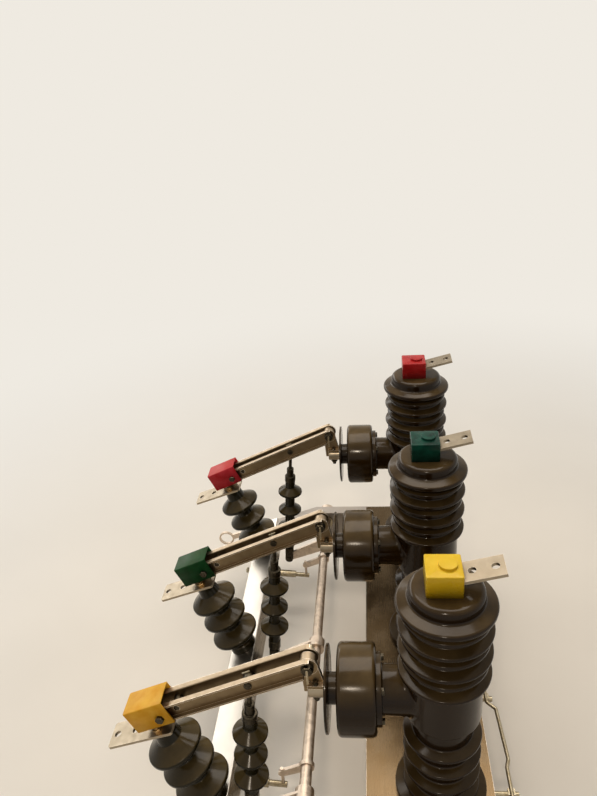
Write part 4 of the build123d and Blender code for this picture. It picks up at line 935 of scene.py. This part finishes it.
# %% Bolts on the branches, the conductors, the contacts and the tip covers
BRANCH_CIRCLE, PAD_NUT_X, PAD_NUT_Y, PAD_TOP, UNDER_NUT_IN = 46, -193.5, 8.3, 469, 0.6
CONTACT_NUT_Y, PLATE_T, SCREW_X, SCREW_Z = 13.5, 5, -445.3, 399.1
flanges = [(-flange_from * MM, y, outlet_z) for y in ROW]
joined("branch_bolts", [bolt_circle(BRANCH_CIRCLE, flange, (1, 0, 0), 6, washer=False) for flange in flanges],
       BLACK_STEEL)
under_nuts = [bolt((PAD_NUT_X * MM, y, outlet_z - (CONDUCTOR_R - UNDER_NUT_IN) * MM), -UP, 8, 6)
              for y in ROW]
pad_nuts = [bolt((PAD_NUT_X * MM, y + side * PAD_NUT_Y * MM, PAD_TOP * MM), UP, 5, 2, washer=False)
            for y in ROW for side in SIDES]
joined("conductor_nuts", under_nuts + pad_nuts, BLACK_STEEL)
plate_top = post_top + PLATE_T * MM * lean_axis
joined("contact_bolts", [bolt(plate_top + Vector((0, y + side * CONTACT_NUT_Y * MM, 0)), lean_axis, 8, 3)
                         for y in ROW for side in SIDES], BRASS_TONE)
for phase, y in PHASES.items():
    screw = bolt((SCREW_X * MM, y - TIP_HALF * MM, SCREW_Z * MM), (0, -1, 0), 8, washer=False)
    joined("cover_screw_" + phase, [screw], BLACK_STEEL, "blade_" + phase)

# %% [markdown]
# ## Floor, light and camera
#
# A plain pale floor carries the breaker and fades into the backdrop, so no horizon shows. A wide
# light overhead does most of the work, a narrow one behind the camera draws small highlights on
# the resin, and a broad one far to the left shines low over the stainless sheet. The camera
# stands at the photograph's angle: above the near end of the row, looking down along it.

# %% World
BACKDROP = "#efeae1"
world = bpy.data.worlds.new("studio")
world.use_nodes = True
scene.world = world


def seen(tree):
    """1 for rays from the camera, from gloss and through glass, which all show the same backdrop."""
    rays = add(tree, "ShaderNodeLightPath").outputs
    mirrored = combined(tree, "MAXIMUM", rays["Is Camera Ray"], rays["Is Glossy Ray"])
    return combined(tree, "MAXIMUM", mirrored, rays["Is Transmission Ray"])


sky = world.node_tree
background = sky.nodes["Background"]
direction = add(sky, "ShaderNodeTexCoord").outputs["Generated"]
height = add(sky, "ShaderNodeSeparateXYZ", {0: direction}).outputs["Z"]
overhead = blend(sky, between(sky, height, 0.0, 1.0, 0.1, 0.8), BACKDROP, "#cfcac2")
dome = blend(sky, between(sky, height, 0.0, 1.0, -0.1, 0.9), "#6f6a62", "#f6f4f0")
sky.links.new(blend(sky, seen(sky), dome, overhead), background.inputs["Color"])
sky.links.new(between(sky, seen(sky), 0.3, 1.0, 0.0, 1.0), background.inputs["Strength"])
print("backdrop:", BACKDROP)

# %% Floor
FLOOR_HALF, FADE_FROM, FADE_TO = 40, 0.4, 2.6


def pale_floor():
    """Sealed pale floor. From FADE_FROM metres off the middle it runs over into the backdrop's colour."""
    material, tree, shader, place = start("pale_floor", "#e8e1d5", 0.55, Specular_IOR_Level=0.25)
    clouds = between(tree, noise(tree, place, 400, 3.0))
    tree.links.new(blend(tree, clouds, "#e8e1d5", "#e2dbcf"), shader.inputs["Base Color"])
    away = add(tree, "ShaderNodeVectorMath", {0: place}, operation="LENGTH").outputs["Value"]
    fade = add(tree, "ShaderNodeMapRange", {"Value": away, "From Min": FADE_FROM, "From Max": FADE_TO},
               interpolation_type="SMOOTHSTEP").outputs["Result"]
    share = combined(tree, "MULTIPLY", fade, seen(tree))
    glow = add(tree, "ShaderNodeEmission", {"Color": linear(BACKDROP), "Strength": 1.0}).outputs[0]
    mixed = add(tree, "ShaderNodeMixShader", {0: share, 1: shader.outputs[0], 2: glow}).outputs[0]
    tree.links.new(mixed, tree.nodes["Material Output"].inputs["Surface"])
    return material


floor_mesh = bpy.data.meshes.new("floor")
floor_corners = [(x * FLOOR_HALF, y * FLOOR_HALF, 0) for x, y in ((-1, -1), (1, -1), (1, 1), (-1, 1))]
floor_mesh.from_pydata(floor_corners, [], [(0, 1, 2, 3)])
floor_mesh.materials.append(pale_floor())
floor = in_scene("floor", floor_mesh)
print("floor:", tuple(floor.dimensions))


# %% Lights
def soft_light(name, place, target, width, depth, watts, colour):
    """A rectangular area light that faces a point. The camera doesn't see the lamp itself."""
    lamp = bpy.data.lights.new(name, "AREA")
    lamp.shape, lamp.size, lamp.size_y, lamp.energy = "RECTANGLE", width, depth, watts
    lamp.color = linear(colour)[:3]
    piece = in_scene(name, lamp)
    piece.location = place
    piece.rotation_euler = (Vector(target) - Vector(place)).to_track_quat("-Z", "Y").to_euler()
    piece.visible_camera = False


MIDDLE = (-0.15, 0.0, 0.35)
soft_light("overhead", (-0.3, 0.6, 3.0), MIDDLE, 2.4, 1.8, 62, "#fff7ee")
soft_light("front", (-0.35, -2.4, 2.8), MIDDLE, 0.3, 0.16, 20, "#ffeed8")
soft_light("window", (-3.5, 3.6, 2.4), MIDDLE, 4.8, 1.5, 78, "#fbfaf8")
print("lights:", [item.name for item in bpy.data.lights])

# %% Camera
PITCH, YAW, ROLL = 27.1237, 7.0319, 4.6676
CAMERA_PLACE, LENS_MM, SENSOR_MM = (-0.0917, -1.0923, 1.3450), 31.658, 36
camera = bpy.data.cameras.new("camera")
camera.lens, camera.sensor_width = LENS_MM, SENSOR_MM
camera_object = in_scene("camera", camera)
yaw, pitch, roll = (Matrix.Rotation(math.radians(angle), 4, axis)
                    for angle, axis in ((YAW, "Z"), (90 - PITCH, "X"), (-ROLL, "Z")))
camera_object.matrix_world = Matrix.Translation(CAMERA_PLACE) @ yaw @ pitch @ roll
scene.camera = camera_object
scene.view_settings.view_transform = "Standard"
print("camera at", CAMERA_PLACE)
